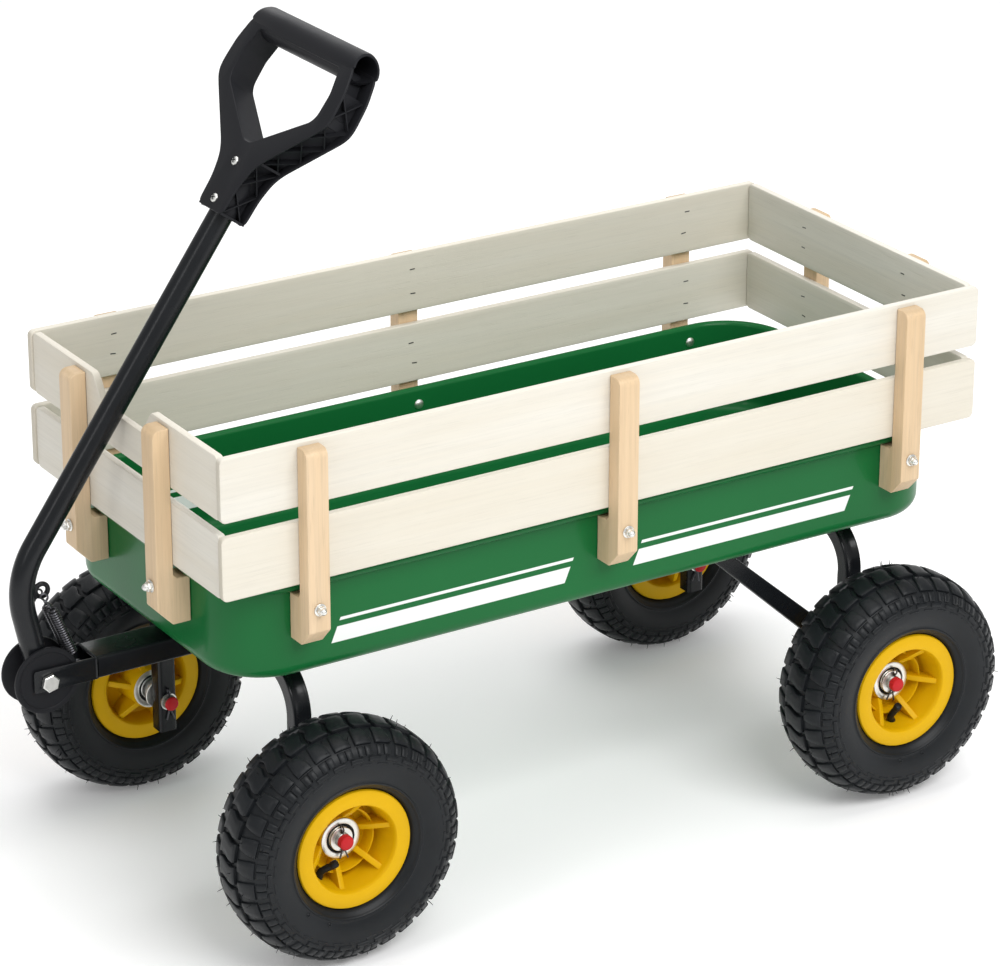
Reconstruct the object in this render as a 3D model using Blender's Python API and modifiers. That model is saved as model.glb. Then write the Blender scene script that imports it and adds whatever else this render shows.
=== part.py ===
"""A child's four-wheeled pull wagon: a pressed steel tub with slatted wooden rails, pneumatic
wheels on bent-tube axle arches, and a hinged pull handle on a steered front axle.

Metres, +Z up, standing on z = 0. The handle is at the front, which is -X; +Y is the wagon's right.
The origin is under the middle of the whole object.
"""

import math

import bmesh
import bpy
from mathutils import Matrix, Vector

GAP = 0.0003                    # clearance kept between two pieces that touch on the real wagon

# Wheels
TYRE_RADIUS = 0.127
TYRE_WIDTH = 0.085
TYRE_WALL = 0.005
RIM_RADIUS = 0.0635
RIM_WIDTH = 0.068
BEAD_RADIUS = 0.052
WHEELBASE = 0.676
TRACK = 0.442                   # between the middles of the tyres
TYRE_STEPS = 24                 # flats round each turned piece
HUB_STEPS = 20
BEARING_STEPS = 12
AXLE_STEPS = 10

# Tub
TUB_HALF_LENGTH = 0.430         # outer face of the wall
TUB_HALF_WIDTH = 0.185
TUB_CORNER = 0.068
TUB_BOTTOM = 0.290
TUB_TOP = 0.396
TUB_SHEET = 0.0012
TUB_BOTTOM_RADIUS = 0.016
TUB_BEAD_REACH = 0.0085         # the rolled rim, outside the wall

# Rails
RAIL_HALF_LENGTH = 0.450        # outer ends of the side slats
RAIL_HALF_WIDTH = 0.2045        # outer faces of the side slats
RAIL_TOP = 0.546
SLAT_HEIGHT = 0.066
SLAT_GAP = 0.015
SLAT_THICK = 0.008
SLAT_CORNER = 0.005
END_SLAT_INSET = 0.002          # the side slats run past the end slats by this much
NOTCH_DEPTH = 0.028             # the dip in the front slat that the parked handle lies in
NOTCH_FLOOR = 0.038             # half of its flat width
NOTCH_SHOULDER = 0.066          # half of its width at the slat's top

# Stakes
STAKE_WIDTH = 0.024
STAKE_DEPTH = 0.018
STAKE_TOP = 0.542
STAKE_BOTTOM = 0.336
STAKE_FOOT_TOP = 0.3845         # the thick foot starts below the rolled rim
STAKE_CHAMFER = 0.017
SIDE_STAKE_X = 0.355
END_STAKE_Y = 0.088
BOLT_HEIGHT = 0.377
BOLT_RADIUS = 0.003
BOLT_STEPS = 8
NUT_HEIGHT = 0.012              # domed nut with its washer, outside the stake

# Axle arches
ARCH_TUBE = 0.020
ARCH_WALL = 0.002
ARCH_TOP = 0.281                # upper face of the bent tube
ARCH_FOOT = 0.092
ARCH_LEG_Y = 0.147
ARCH_BEND = 0.045
PLATE_THICK = 0.004
PLATE_LENGTH = 0.110
PLATE_WIDTH = 0.130
KINGPIN_RADIUS = 0.006

# Stub axles
AXLE_RADIUS = 0.0079
AXLE_NECK = 0.0065              # where it passes through the leg
BEARING_RADIUS = 0.0175
BEARING_WIDTH = 0.011
HUB_OUTER = 0.005               # the offset boss, outwards from the tyre's middle
HUB_INNER = 0.047               # and inwards
HUB_WEB = 0.004                 # the web's two faces, inwards from the tyre's middle
HUB_WEB_BACK = 0.012

# Braces behind the tub's middle
BRACE_TOP_X = 0.165             # from the middle of the tub
BRACE_WIDTH = 0.022
BRACE_THICK = 0.012
BRACE_ANGLE = math.radians(41.0)

# Tongue and handle
TONGUE_WIDTH = 0.040
TONGUE_HEIGHT = 0.024
TONGUE_WALL = 0.0025
TONGUE_TOP = ARCH_TOP - 2 * GAP
TONGUE_FRONT = 0.226            # ahead of the kingpin
TONGUE_MOUTH = 0.159            # where its top and bottom walls start
HINGE_REACH = 0.210             # hinge bolt ahead of the kingpin
HINGE_HEIGHT = 0.2665
HINGE_BOLT_RADIUS = 0.005
DISC_RADIUS = 0.035
DISC_THICK = 0.004
HANDLE_RADIUS = 0.0125
HANDLE_WALL = 0.0015
HANDLE_LEAN = math.radians(35.3)    # of the long straight stretch, back from upright
HANDLE_CLEARANCE = 0.003        # between the parked tube and the floor of the notch
HANDLE_KNEE_HEIGHT = 0.372
HANDLE_KNEE_RADIUS = 0.090
EAR_RADIUS = 0.009
EAR_HOLE = 0.0042
EAR_THICK = 0.004
EAR_BACK = 0.0215               # hole to the middle of the tube
EAR_HEIGHT = 0.357
SOCKET_HEIGHT = 0.7075          # height of the grip's lower end
SOCKET_DEPTH = 0.058
GRIP_THICK = 0.034
GRIP_BAR_RADIUS = 0.017
GRIP_BAR_HALF = 0.103
GRIP_BAR_AT = 0.188             # along the handle from the socket's lower end
SPRING_RADIUS = 0.0045
SPRING_SPACING = 0.0125

# The origin is the middle of the overall length, from the hinge discs to the rear domed nuts.
FRONT_REACH = WHEELBASE / 2 + HINGE_REACH + DISC_RADIUS
REAR_REACH = RAIL_HALF_LENGTH - END_SLAT_INSET + 2 * GAP + STAKE_DEPTH + NUT_HEIGHT
TUB_X = (FRONT_REACH - REAR_REACH) / 2
FRONT_AXLE_X = TUB_X - WHEELBASE / 2
REAR_AXLE_X = TUB_X + WHEELBASE / 2
HINGE_X = FRONT_AXLE_X - HINGE_REACH

HANDLE_UP = Vector((math.sin(HANDLE_LEAN), 0, math.cos(HANDLE_LEAN)))
HANDLE_FRONT = Vector((-math.cos(HANDLE_LEAN), 0, math.sin(HANDLE_LEAN)))

MODEL = "pull_wagon"
parts_collection = None
cutter_collection = None
materials = {}


# ---------------------------------------------------------------- helpers

def clear_scene():
    for old in list(bpy.data.objects):
        bpy.data.objects.remove(old)


def make_collection(name):
    made = bpy.data.collections.new(name)
    bpy.context.scene.collection.children.link(made)
    return made


def make_material(name, colour, roughness, metallic=0.0):
    made = bpy.data.materials.new(name)
    made.use_nodes = True
    shader = made.node_tree.nodes["Principled BSDF"]
    shader.inputs["Base Color"].default_value = (*colour, 1.0)
    shader.inputs["Roughness"].default_value = roughness
    shader.inputs["Metallic"].default_value = metallic
    made.diffuse_color = (*colour, 1.0)
    materials[name] = made


def make_materials():
    make_material("green_paint", (0.010, 0.150, 0.045), 0.25)
    make_material("pale_wood", (0.80, 0.70, 0.52), 0.6)
    make_material("stake_wood", (0.68, 0.47, 0.27), 0.6)
    make_material("black_paint", (0.012, 0.012, 0.014), 0.3)
    make_material("black_plastic", (0.020, 0.020, 0.022), 0.5)
    make_material("tyre_rubber", (0.020, 0.022, 0.025), 0.7)
    make_material("yellow_plastic", (0.90, 0.45, 0.01), 0.4)
    make_material("zinc", (0.60, 0.60, 0.58), 0.3, 1.0)


def keep(obj, material, smooth_angle=35.0):
    """Puts a finished part in the model's collection with its material and its shading."""
    parts_collection.objects.link(obj)
    obj.data.materials.append(materials[material])
    if obj.type == "MESH":
        obj.data.shade_smooth()
        obj.data.set_sharp_from_angle(angle=math.radians(smooth_angle))
    return obj


def as_cutter(obj):
    cutter_collection.objects.link(obj)
    obj.hide_render = True
    obj.display_type = "WIRE"
    return obj


def mesh_object(name, bm):
    bmesh.ops.recalc_face_normals(bm, faces=bm.faces)
    mesh = bpy.data.meshes.new(name)
    bm.to_mesh(mesh)
    bm.free()
    return bpy.data.objects.new(name, mesh)


def block(name, size, centre, bevel=0.0):
    bm = bmesh.new()
    bmesh.ops.create_cube(bm, size=1.0)
    bmesh.ops.scale(bm, vec=Vector(size), verts=bm.verts)
    made = mesh_object(name, bm)
    made.location = centre
    if bevel:
        edge = made.modifiers.new("rounded edges", "BEVEL")
        edge.width = bevel
        edge.segments = 2
    return made


def rod(name, radius, length, centre, axis="Y", sides=24):
    """A round bar along X, Y or Z."""
    bm = bmesh.new()
    bmesh.ops.create_cone(bm, cap_ends=True, segments=sides, radius1=radius, radius2=radius,
                          depth=length)
    made = mesh_object(name, bm)
    made.location = centre
    made.rotation_euler = {"X": (0, math.pi / 2, 0), "Y": (math.pi / 2, 0, 0), "Z": (0, 0, 0)}[axis]
    return made


def turned(name, profile, centre, outward, steps=16):
    """A profile of (radius, distance along `outward`) points turned about that direction."""
    bm = bmesh.new()
    points = [bm.verts.new((radius, 0, along)) for radius, along in profile]
    for first, second in zip(points, points[1:]):
        bm.edges.new((first, second))
    if profile[0][0] > 0:
        bm.edges.new((points[-1], points[0]))
    mesh = bpy.data.meshes.new(name)
    bm.to_mesh(mesh)
    bm.free()
    made = bpy.data.objects.new(name, mesh)
    made.location = centre
    made.rotation_mode = "QUATERNION"
    made.rotation_quaternion = Vector((0, 0, 1)).rotation_difference(Vector(outward))
    screw = made.modifiers.new("turning", "SCREW")
    screw.axis = "Z"
    screw.steps = steps
    screw.render_steps = steps
    screw.use_merge_vertices = True
    screw.merge_threshold = 0.00001
    return made


def flat_outline(name, outlines, thickness, frame):
    """One or more closed outlines filled in a plane and thickened; `frame` places that plane."""
    curve = bpy.data.curves.new(name, "CURVE")
    curve.dimensions = "2D"
    curve.fill_mode = "BOTH"
    curve.extrude = thickness / 2
    for outline in outlines:
        spline = curve.splines.new("POLY")
        spline.points.add(len(outline) - 1)
        for point, (a, b) in zip(spline.points, outline):
            point.co = (a, b, 0, 1)
        spline.use_cyclic_u = True
    made = bpy.data.objects.new(name, curve)
    made.matrix_world = frame
    return made


def to_mesh(obj):
    """The same shape as a mesh, with a curve's caps welded on, so that it can be cut."""
    bpy.context.scene.collection.objects.link(obj)
    depsgraph = bpy.context.evaluated_depsgraph_get()
    mesh = bpy.data.meshes.new_from_object(obj.evaluated_get(depsgraph))
    bm = bmesh.new()
    bm.from_mesh(mesh)
    bmesh.ops.remove_doubles(bm, verts=bm.verts, dist=0.00001)
    bmesh.ops.recalc_face_normals(bm, faces=bm.faces)
    bm.to_mesh(mesh)
    bm.free()
    made = bpy.data.objects.new(obj.name, mesh)
    made.matrix_world = obj.matrix_world
    name = obj.name
    bpy.data.objects.remove(obj)
    made.name = name
    mesh.name = name
    return made


def plane_frame(origin, across, up):
    """A matrix whose X runs `across`, whose Y runs `up`, and whose Z is their normal."""
    across = Vector(across)
    up = Vector(up)
    normal = across.cross(up)
    frame = Matrix((across, up, normal)).transposed().to_4x4()
    frame.translation = Vector(origin)
    return frame


def combine(obj, other, operation):
    change = obj.modifiers.new(operation.lower() + " " + other.name, "BOOLEAN")
    change.operation = operation
    change.object = as_cutter(other)
    change.solver = "EXACT"


def cut(obj, cutter):
    combine(obj, cutter, "DIFFERENCE")


def join(obj, other):
    combine(obj, other, "UNION")


def rounded_rectangle(half_x, half_y, radius, steps):
    """Points of a rectangle with round corners, counter-clockwise."""
    points = []
    for corner, (sign_x, sign_y) in enumerate(((1, 1), (-1, 1), (-1, -1), (1, -1))):
        for step in range(steps + 1):
            angle = math.pi / 2 * (corner + step / steps)
            x = sign_x * (half_x - radius) + radius * math.cos(angle)
            y = sign_y * (half_y - radius) + radius * math.sin(angle)
            points.append((x, y))
    return points


def add_ring(bm, points):
    return [bm.verts.new(point) for point in points]


def bridge(bm, first, second):
    count = len(first)
    for i in range(count):
        j = (i + 1) % count
        bm.faces.new((first[i], first[j], second[j], second[i]))


def swept_tube(name, path, side, section, inner_section):
    """A tube along a path that stays in one plane, open at both ends. `side` is that plane's normal."""
    bm = bmesh.new()
    skins = []
    for outline in (section, inner_section):
        rings = []
        for i, point in enumerate(path):
            ahead = path[min(i + 1, len(path) - 1)] - path[max(i - 1, 0)]
            across = side.cross(ahead.normalized())
            rings.append(add_ring(bm, [point + side * a + across * b for a, b in outline]))
        skins.append(rings)
    for rings in skins:
        for first, second in zip(rings, rings[1:]):
            bridge(bm, first, second)
    for end in (0, -1):
        bridge(bm, skins[0][end], skins[1][end])
    return mesh_object(name, bm)


def circle(radius, steps):
    angles = [2 * math.pi * i / steps for i in range(steps)]
    return [(radius * math.cos(angle), radius * math.sin(angle)) for angle in angles]


def bent_path(start, corner, end, radius, steps):
    """From `start` to `end` by way of a round bend at `corner`."""
    before = (start - corner).normalized()
    after = (end - corner).normalized()
    half_angle = before.angle(after) / 2
    tangent = radius / math.tan(half_angle)
    centre = corner + (before + after).normalized() * radius / math.sin(half_angle)
    first = (corner + before * tangent - centre).normalized()
    last = (corner + after * tangent - centre).normalized()
    bend = [centre + first.slerp(last, i / steps) * radius for i in range(steps + 1)]
    return [start] + bend + [end]


# ---------------------------------------------------------------- tub

def tub_profile():
    """(outward offset from the wall, height), from under the floor up the outside of the wall,
    round the rolled rim and down the inside to the floor."""
    points = []
    for step in range(5):
        angle = math.pi / 2 * step / 4
        points.append((-TUB_BOTTOM_RADIUS * (1 - math.sin(angle)),
                       TUB_BOTTOM + TUB_BOTTOM_RADIUS * (1 - math.cos(angle))))
    bead = (TUB_BEAD_REACH + TUB_SHEET) / 2
    start = -math.acos(-(bead - TUB_SHEET) / bead)
    for step in range(9):
        angle = start + (math.pi - start) * step / 8
        points.append((bead - TUB_SHEET + bead * math.cos(angle),
                       TUB_TOP - bead + bead * math.sin(angle)))
    inner = TUB_BOTTOM_RADIUS - TUB_SHEET
    for step in range(5):
        angle = math.pi / 2 * (1 - step / 4)
        points.append((-TUB_SHEET - inner * (1 - math.sin(angle)),
                       TUB_BOTTOM + TUB_SHEET + inner * (1 - math.cos(angle))))
    return points


def make_tub():
    bm = bmesh.new()
    rings = []
    for offset, height in tub_profile():
        outline = rounded_rectangle(TUB_HALF_LENGTH + offset, TUB_HALF_WIDTH + offset,
                                    TUB_CORNER + offset, 6)
        rings.append(add_ring(bm, [(x, y, height) for x, y in outline]))
    for first, second in zip(rings, rings[1:]):
        bridge(bm, first, second)
    bm.faces.new(rings[0])
    bm.faces.new(rings[-1])
    tub = mesh_object("tub", bm)
    tub.location.x = TUB_X
    for name, foot, outward in stake_places():
        length = 4 * TUB_SHEET
        place = Vector((foot.x, foot.y, BOLT_HEIGHT)) - outward * length / 4
        axis = "Y" if abs(outward.y) > 0.5 else "X"
        cut(tub, rod("hole_" + name + "_in_tub", BOLT_RADIUS + GAP, length, place, axis, 12))
    cut(tub, rod("hole_kingpin_in_tub", KINGPIN_RADIUS + GAP, 4 * TUB_SHEET,
                 (FRONT_AXLE_X, 0, TUB_BOTTOM), "Z", 16))
    keep(tub, "green_paint")


# ---------------------------------------------------------------- rails

def slat_outline(half_length, notched):
    """A board seen flat, with rounded corners and, on the front one, the handle's notch."""
    half_height = SLAT_HEIGHT / 2
    outline = rounded_rectangle(half_length, half_height, SLAT_CORNER, 3)
    if not notched:
        return outline
    notch = []
    for step in range(9):
        share = step / 8
        across = NOTCH_SHOULDER + (NOTCH_FLOOR - NOTCH_SHOULDER) * share
        drop = NOTCH_DEPTH * (1 - math.cos(math.pi * share)) / 2
        notch.append((across, half_height - drop))
    mirrored = [(-across, height) for across, height in reversed(notch)]
    return outline[:4] + notch + mirrored + outline[4:]


def make_slats():
    heights = {"upper": RAIL_TOP - SLAT_HEIGHT / 2,
               "lower": RAIL_TOP - SLAT_HEIGHT * 1.5 - SLAT_GAP}
    side_y = RAIL_HALF_WIDTH - SLAT_THICK / 2
    end_x = RAIL_HALF_LENGTH - END_SLAT_INSET - SLAT_THICK / 2
    end_half = RAIL_HALF_WIDTH - SLAT_THICK - GAP
    for level, height in heights.items():
        for side, sign in (("left", -1), ("right", 1)):
            frame = plane_frame((TUB_X, sign * side_y, height), (1, 0, 0), (0, 0, 1))
            keep(flat_outline(f"{side}_{level}_slat", [slat_outline(RAIL_HALF_LENGTH, False)],
                              SLAT_THICK, frame), "pale_wood")
        for end, sign in (("front", -1), ("rear", 1)):
            frame = plane_frame((TUB_X + sign * end_x, 0, height), (0, 1, 0), (0, 0, 1))
            notched = end == "front" and level == "upper"
            keep(flat_outline(f"{end}_{level}_slat", [slat_outline(end_half, notched)],
                              SLAT_THICK, frame), "pale_wood")


# ---------------------------------------------------------------- stakes and their bolts

def stake_places():
    """Each stake's name, the point where its foot meets the tub wall, and which way it faces."""
    places = []
    for side, sign in (("left", -1), ("right", 1)):
        for spot, x in (("front", -SIDE_STAKE_X), ("middle", 0.0), ("rear", SIDE_STAKE_X)):
            foot = Vector((TUB_X + x, sign * TUB_HALF_WIDTH, 0))
            places.append((f"{side}_{spot}", foot, Vector((0, sign, 0))))
    for end, sign in (("front", -1), ("rear", 1)):
        for side, y in (("left", -END_STAKE_Y), ("right", END_STAKE_Y)):
            foot = Vector((TUB_X + sign * TUB_HALF_LENGTH, y, 0))
            places.append((f"{end}_end_{side}", foot, Vector((sign, 0, 0))))
    return places


def slat_face(outward):
    """How far outside the tub wall the slats' outer faces lie."""
    if abs(outward.y) > 0.5:
        return RAIL_HALF_WIDTH - TUB_HALF_WIDTH
    return RAIL_HALF_LENGTH - END_SLAT_INSET - TUB_HALF_LENGTH


def stake_outline(face):
    """The stake seen from its side: (distance from the tub wall, height)."""
    outer = face + GAP + STAKE_DEPTH
    return [(GAP, STAKE_BOTTOM), (outer - STAKE_CHAMFER, STAKE_BOTTOM),
            (outer, STAKE_BOTTOM + STAKE_CHAMFER), (outer, STAKE_TOP - 0.008),
            (outer - 0.003, STAKE_TOP - 0.002), (outer - 0.008, STAKE_TOP),
            (face + GAP, STAKE_TOP), (face + GAP, STAKE_FOOT_TOP + 0.004),
            (face - 0.004, STAKE_FOOT_TOP), (GAP, STAKE_FOOT_TOP)]


def make_stakes():
    for name, foot, outward in stake_places():
        frame = plane_frame(foot, outward, (0, 0, 1))
        stake = to_mesh(flat_outline(name + "_stake", [stake_outline(slat_face(outward))],
                                     STAKE_WIDTH, frame))
        axis = "Y" if abs(outward.y) > 0.5 else "X"
        middle = Vector((foot.x, foot.y, BOLT_HEIGHT)) + outward * STAKE_DEPTH
        cut(stake, rod("hole_in_" + name, BOLT_RADIUS + GAP, 0.1, middle, axis, 12))
        keep(stake, "stake_wood")


def make_stake_bolts():
    """Each is a round-headed bolt from inside the tub with a washer and a domed nut outside."""
    for name, foot, outward in stake_places():
        inside = -TUB_SHEET - GAP
        outside = slat_face(outward) + 2 * GAP + STAKE_DEPTH
        profile = [(0.0, outside + NUT_HEIGHT), (0.0042, outside + 0.0100), (0.0055, outside + 0.0060),
                   (0.0055, outside + 0.0012), (0.0075, outside + 0.0012), (0.0075, outside),
                   (BOLT_RADIUS, outside), (BOLT_RADIUS, inside), (0.0060, inside),
                   (0.0, inside - 0.0032)]
        place = Vector((foot.x, foot.y, BOLT_HEIGHT))
        keep(turned(name + "_stake_bolt", profile, place, outward, BOLT_STEPS), "zinc")


# ---------------------------------------------------------------- axle arches and running gear

def arch_path(x):
    """The bent tube's centre line from the left foot to the right foot."""
    top = ARCH_TOP - ARCH_TUBE / 2
    middle = Vector((x, 0, top))
    left = bent_path(Vector((x, -ARCH_LEG_Y, ARCH_FOOT)), Vector((x, -ARCH_LEG_Y, top)),
                     middle, ARCH_BEND, 5)
    right = [Vector((x, -point.y, point.z)) for point in reversed(left[:-1])]
    return left + right


def make_arch(name, x):
    half = ARCH_TUBE / 2
    section = rounded_rectangle(half, half, 0.003, 2)
    inner = rounded_rectangle(half - ARCH_WALL, half - ARCH_WALL, 0.0015, 2)
    arch = swept_tube(name, arch_path(x), Vector((1, 0, 0)), section, inner)
    for side, sign in (("left", -1), ("right", 1)):
        place = (x, sign * ARCH_LEG_Y, TYRE_RADIUS)
        cut(arch, rod(f"hole_{side}_axle_in_{name}", AXLE_NECK + GAP, 2 * ARCH_TUBE, place, "Y", 16))
    return arch


def make_plate(name, x, bottom, thickness):
    return block(name, (PLATE_LENGTH, PLATE_WIDTH, thickness), (x, 0, bottom + thickness / 2), 0.0008)


def make_running_gear():
    """Arches, the turntable plates (the lower one welded to its arch), kingpin and rear bracket."""
    front = make_arch("front_axle_arch", FRONT_AXLE_X)
    join(front, make_plate("welded_turntable_plate", FRONT_AXLE_X, ARCH_TOP - GAP, PLATE_THICK + GAP))
    upper_bottom = TUB_BOTTOM - GAP - PLATE_THICK
    upper = make_plate("upper_turntable_plate", FRONT_AXLE_X, upper_bottom, PLATE_THICK)
    for part in (front, upper):
        cut(part, rod("kingpin_hole_in_" + part.name, KINGPIN_RADIUS + GAP, 0.08,
                      (FRONT_AXLE_X, 0, ARCH_TOP), "Z", 16))
        keep(part, "black_paint")
    head = TUB_BOTTOM + TUB_SHEET + GAP
    nut = ARCH_TOP - ARCH_TUBE - GAP
    profile = [(0.0, head + 0.005), (0.008, head + 0.0045), (0.0105, head + 0.003), (0.0105, head),
               (KINGPIN_RADIUS, head), (KINGPIN_RADIUS, nut), (0.0095, nut), (0.0095, nut - 0.008),
               (0.0065, nut - 0.008), (0.0065, nut - 0.011), (0.0, nut - 0.011)]
    keep(turned("kingpin", profile, (FRONT_AXLE_X, 0, 0), (0, 0, 1), 18), "zinc")
    keep(make_arch("rear_axle_arch", REAR_AXLE_X), "black_paint")
    bracket = make_plate("rear_axle_bracket", REAR_AXLE_X, ARCH_TOP + GAP,
                         TUB_BOTTOM - ARCH_TOP - 2 * GAP)
    keep(bracket, "black_paint")


def make_braces():
    """A flat bar on each side, from a foot bolted under the tub down to the rear arch's leg."""
    top = TUB_BOTTOM - GAP
    leg = REAR_AXLE_X - TUB_X - ARCH_TUBE / 2 - GAP
    rise = BRACE_WIDTH / math.cos(BRACE_ANGLE)
    slope = math.tan(BRACE_ANGLE)
    heel = BRACE_TOP_X + 0.006
    low = top - (leg - heel) * slope
    outline = [(BRACE_TOP_X - 0.022, top), (heel, top), (leg, low), (leg, low - rise),
               (BRACE_TOP_X - 0.012, top - 0.006), (BRACE_TOP_X - 0.022, top - 0.003)]
    for side, sign in (("left", -1), ("right", 1)):
        frame = plane_frame((TUB_X, sign * ARCH_LEG_Y, 0), (1, 0, 0), (0, 0, 1))
        keep(flat_outline(f"{side}_rear_brace", [outline], BRACE_THICK, frame), "black_paint")


# ---------------------------------------------------------------- wheels

def tyre_profile():
    """The outside from one bead over the crown to the other bead, then back along the inside."""
    half = TYRE_WIDTH / 2
    bead = BEAD_RADIUS + 0.0005
    crown = [(bead, 0.0285), (0.0640, 0.0285), (0.0740, 0.0400), (0.0950, half),
             (0.1120, half - 0.0050), (0.1230, 0.0220), (TYRE_RADIUS, 0.0070)]
    cavity = [(TYRE_RADIUS - TYRE_WALL - 0.001, 0.0070), (0.1110, half - 0.0140),
              (0.0950, half - TYRE_WALL), (0.0700, 0.0280), (bead, 0.0195)]
    outside = crown + [(radius, -along) for radius, along in reversed(crown)]
    inside = [(radius, -along) for radius, along in reversed(cavity)] + cavity
    return outside + inside


def hub_profile():
    """A deep-dished plastic wheel: a boss set inwards, web, barrel and a flange at each side."""
    boss = BEARING_RADIUS + GAP
    half = RIM_WIDTH / 2
    outer = [(boss, HUB_OUTER), (0.0225, HUB_OUTER), (0.0235, -HUB_WEB), (0.0410, -HUB_WEB)]
    inner = [(0.0410, -HUB_WEB_BACK), (0.0245, -HUB_WEB_BACK), (0.0225, -HUB_INNER),
             (boss, -HUB_INNER)]
    rim = [(0.0460, half), (RIM_RADIUS, half), (RIM_RADIUS, half - 0.005), (BEAD_RADIUS, half - 0.005)]
    mirrored = [(radius, -along) for radius, along in reversed(rim)]
    return outer + rim + mirrored + inner


def bearing_profile():
    """Two ball bearings with the sleeve that spaces them, as one turned piece."""
    bore = AXLE_RADIUS + GAP
    outer = HUB_OUTER - 0.0005
    inner = 0.0005 - HUB_INNER
    return [(bore, outer), (BEARING_RADIUS, outer), (BEARING_RADIUS, outer - BEARING_WIDTH),
            (0.0110, outer - BEARING_WIDTH), (0.0110, inner + BEARING_WIDTH),
            (BEARING_RADIUS, inner + BEARING_WIDTH), (BEARING_RADIUS, inner), (bore, inner)]


def axle_profile():
    """A stub axle, measured outwards from the arch leg's middle."""
    leg = ARCH_TUBE / 2 + GAP
    hub = TRACK / 2 - ARCH_LEG_Y
    inner = hub - HUB_INNER - 0.0005
    outer = hub + HUB_OUTER + 0.0005
    return [(0.0, outer + 0.0110), (AXLE_RADIUS - 0.001, outer + 0.0110), (AXLE_RADIUS, outer + 0.0100),
            (AXLE_RADIUS, outer + 0.0025), (0.0130, outer + 0.0025), (0.0130, outer),
            (AXLE_RADIUS, outer), (AXLE_RADIUS, inner), (0.0115, inner), (0.0115, leg),
            (AXLE_NECK, leg), (AXLE_NECK, -leg), (0.0085, -leg), (0.0085, -leg - 0.0070),
            (0.0, -leg - 0.0070)]


def make_wheels():
    for end, x in (("front", FRONT_AXLE_X), ("rear", REAR_AXLE_X)):
        for side, sign in (("left", -1), ("right", 1)):
            name = f"{end}_{side}"
            centre = (x, sign * TRACK / 2, TYRE_RADIUS)
            outward = (0, sign, 0)
            keep(turned(name + "_tyre", tyre_profile(), centre, outward, TYRE_STEPS), "tyre_rubber")
            keep(turned(name + "_hub", hub_profile(), centre, outward, HUB_STEPS), "yellow_plastic")
            keep(turned(name + "_bearings", bearing_profile(), centre, outward,
                        BEARING_STEPS), "zinc")
            foot = (x, sign * ARCH_LEG_Y, TYRE_RADIUS)
            keep(turned(name + "_stub_axle", axle_profile(), foot, outward, AXLE_STEPS), "zinc")


# ---------------------------------------------------------------- tongue, hinge and handle

def make_tongue():
    """A rectangular tube whose front end keeps only its two side walls, as ears for the hinge."""
    rear = FRONT_AXLE_X - ARCH_TUBE / 2 - GAP
    front = FRONT_AXLE_X - TONGUE_FRONT
    middle = ((rear + front) / 2, 0, TONGUE_TOP - TONGUE_HEIGHT / 2)
    tongue = block("tongue", (rear - front, TONGUE_WIDTH, TONGUE_HEIGHT), middle, 0.0015)
    width = TONGUE_WIDTH - 2 * TONGUE_WALL
    hollow = TONGUE_HEIGHT - 2 * TONGUE_WALL
    bore = (middle[0] - TONGUE_WALL, 0, middle[2])
    cut(tongue, block("tongue_bore", (rear - front, width, hollow), bore))
    mouth = TONGUE_FRONT - TONGUE_MOUTH
    cut(tongue, block("tongue_mouth", (2 * mouth, width, 2 * TONGUE_HEIGHT), (front, 0, middle[2])))
    cut(tongue, rod("tongue_hinge_hole", HINGE_BOLT_RADIUS + GAP, 2 * TONGUE_WIDTH,
                    (HINGE_X, 0, HINGE_HEIGHT), "Y", 16))
    keep(tongue, "black_paint")


def make_hinge():
    """The bolt through the tongue's ears and the disc on each side of the handle's foot."""
    inner = HANDLE_RADIUS + 0.0005
    for side, sign in (("left", -1), ("right", 1)):
        profile = [(HINGE_BOLT_RADIUS + GAP, DISC_THICK), (DISC_RADIUS - 0.001, DISC_THICK),
                   (DISC_RADIUS, DISC_THICK - 0.001), (DISC_RADIUS, 0.0005), (DISC_RADIUS - 0.0005, 0),
                   (HINGE_BOLT_RADIUS + GAP, 0)]
        place = (HINGE_X, sign * inner, HINGE_HEIGHT)
        keep(turned(f"{side}_hinge_disc", profile, place, (0, sign, 0), 24), "black_plastic")
    face = TONGUE_WIDTH / 2 + GAP
    profile = [(0.0, face + 0.0085), (0.0050, face + 0.0085), (0.0050, face + 0.0060),
               (0.0085, face + 0.0060), (0.0085, face), (HINGE_BOLT_RADIUS, face),
               (HINGE_BOLT_RADIUS, -face), (0.0085, -face), (0.0085, -face - 0.0050),
               (0.0, -face - 0.0055)]
    keep(turned("hinge_bolt", profile, (HINGE_X, 0, HINGE_HEIGHT), (0, 1, 0), 18), "zinc")


def rest_point():
    """A point of the handle's centre line, level with the notch that the tube lies on."""
    edge = Vector((TUB_X - RAIL_HALF_LENGTH + END_SLAT_INSET, 0, RAIL_TOP - NOTCH_DEPTH))
    return edge + HANDLE_FRONT * (HANDLE_RADIUS + HANDLE_CLEARANCE)


def socket_point():
    """The lower end of the grip, on the handle's centre line."""
    start = rest_point()
    return start + HANDLE_UP * (SOCKET_HEIGHT - start.z) / HANDLE_UP.z


def knee_point():
    start = rest_point()
    return start + HANDLE_UP * (HANDLE_KNEE_HEIGHT - start.z) / HANDLE_UP.z


def handle_path():
    """The tube's centre line: up from the hinge, round the knee and straight into the grip."""
    hinge = Vector((HINGE_X, 0, HINGE_HEIGHT))
    knee = knee_point()
    foot = hinge + (hinge - knee).normalized() * (HANDLE_RADIUS - 0.001)
    top = socket_point() + HANDLE_UP * (SOCKET_DEPTH - 0.001)
    return bent_path(foot, knee, top, HANDLE_KNEE_RADIUS, 6)


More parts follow.
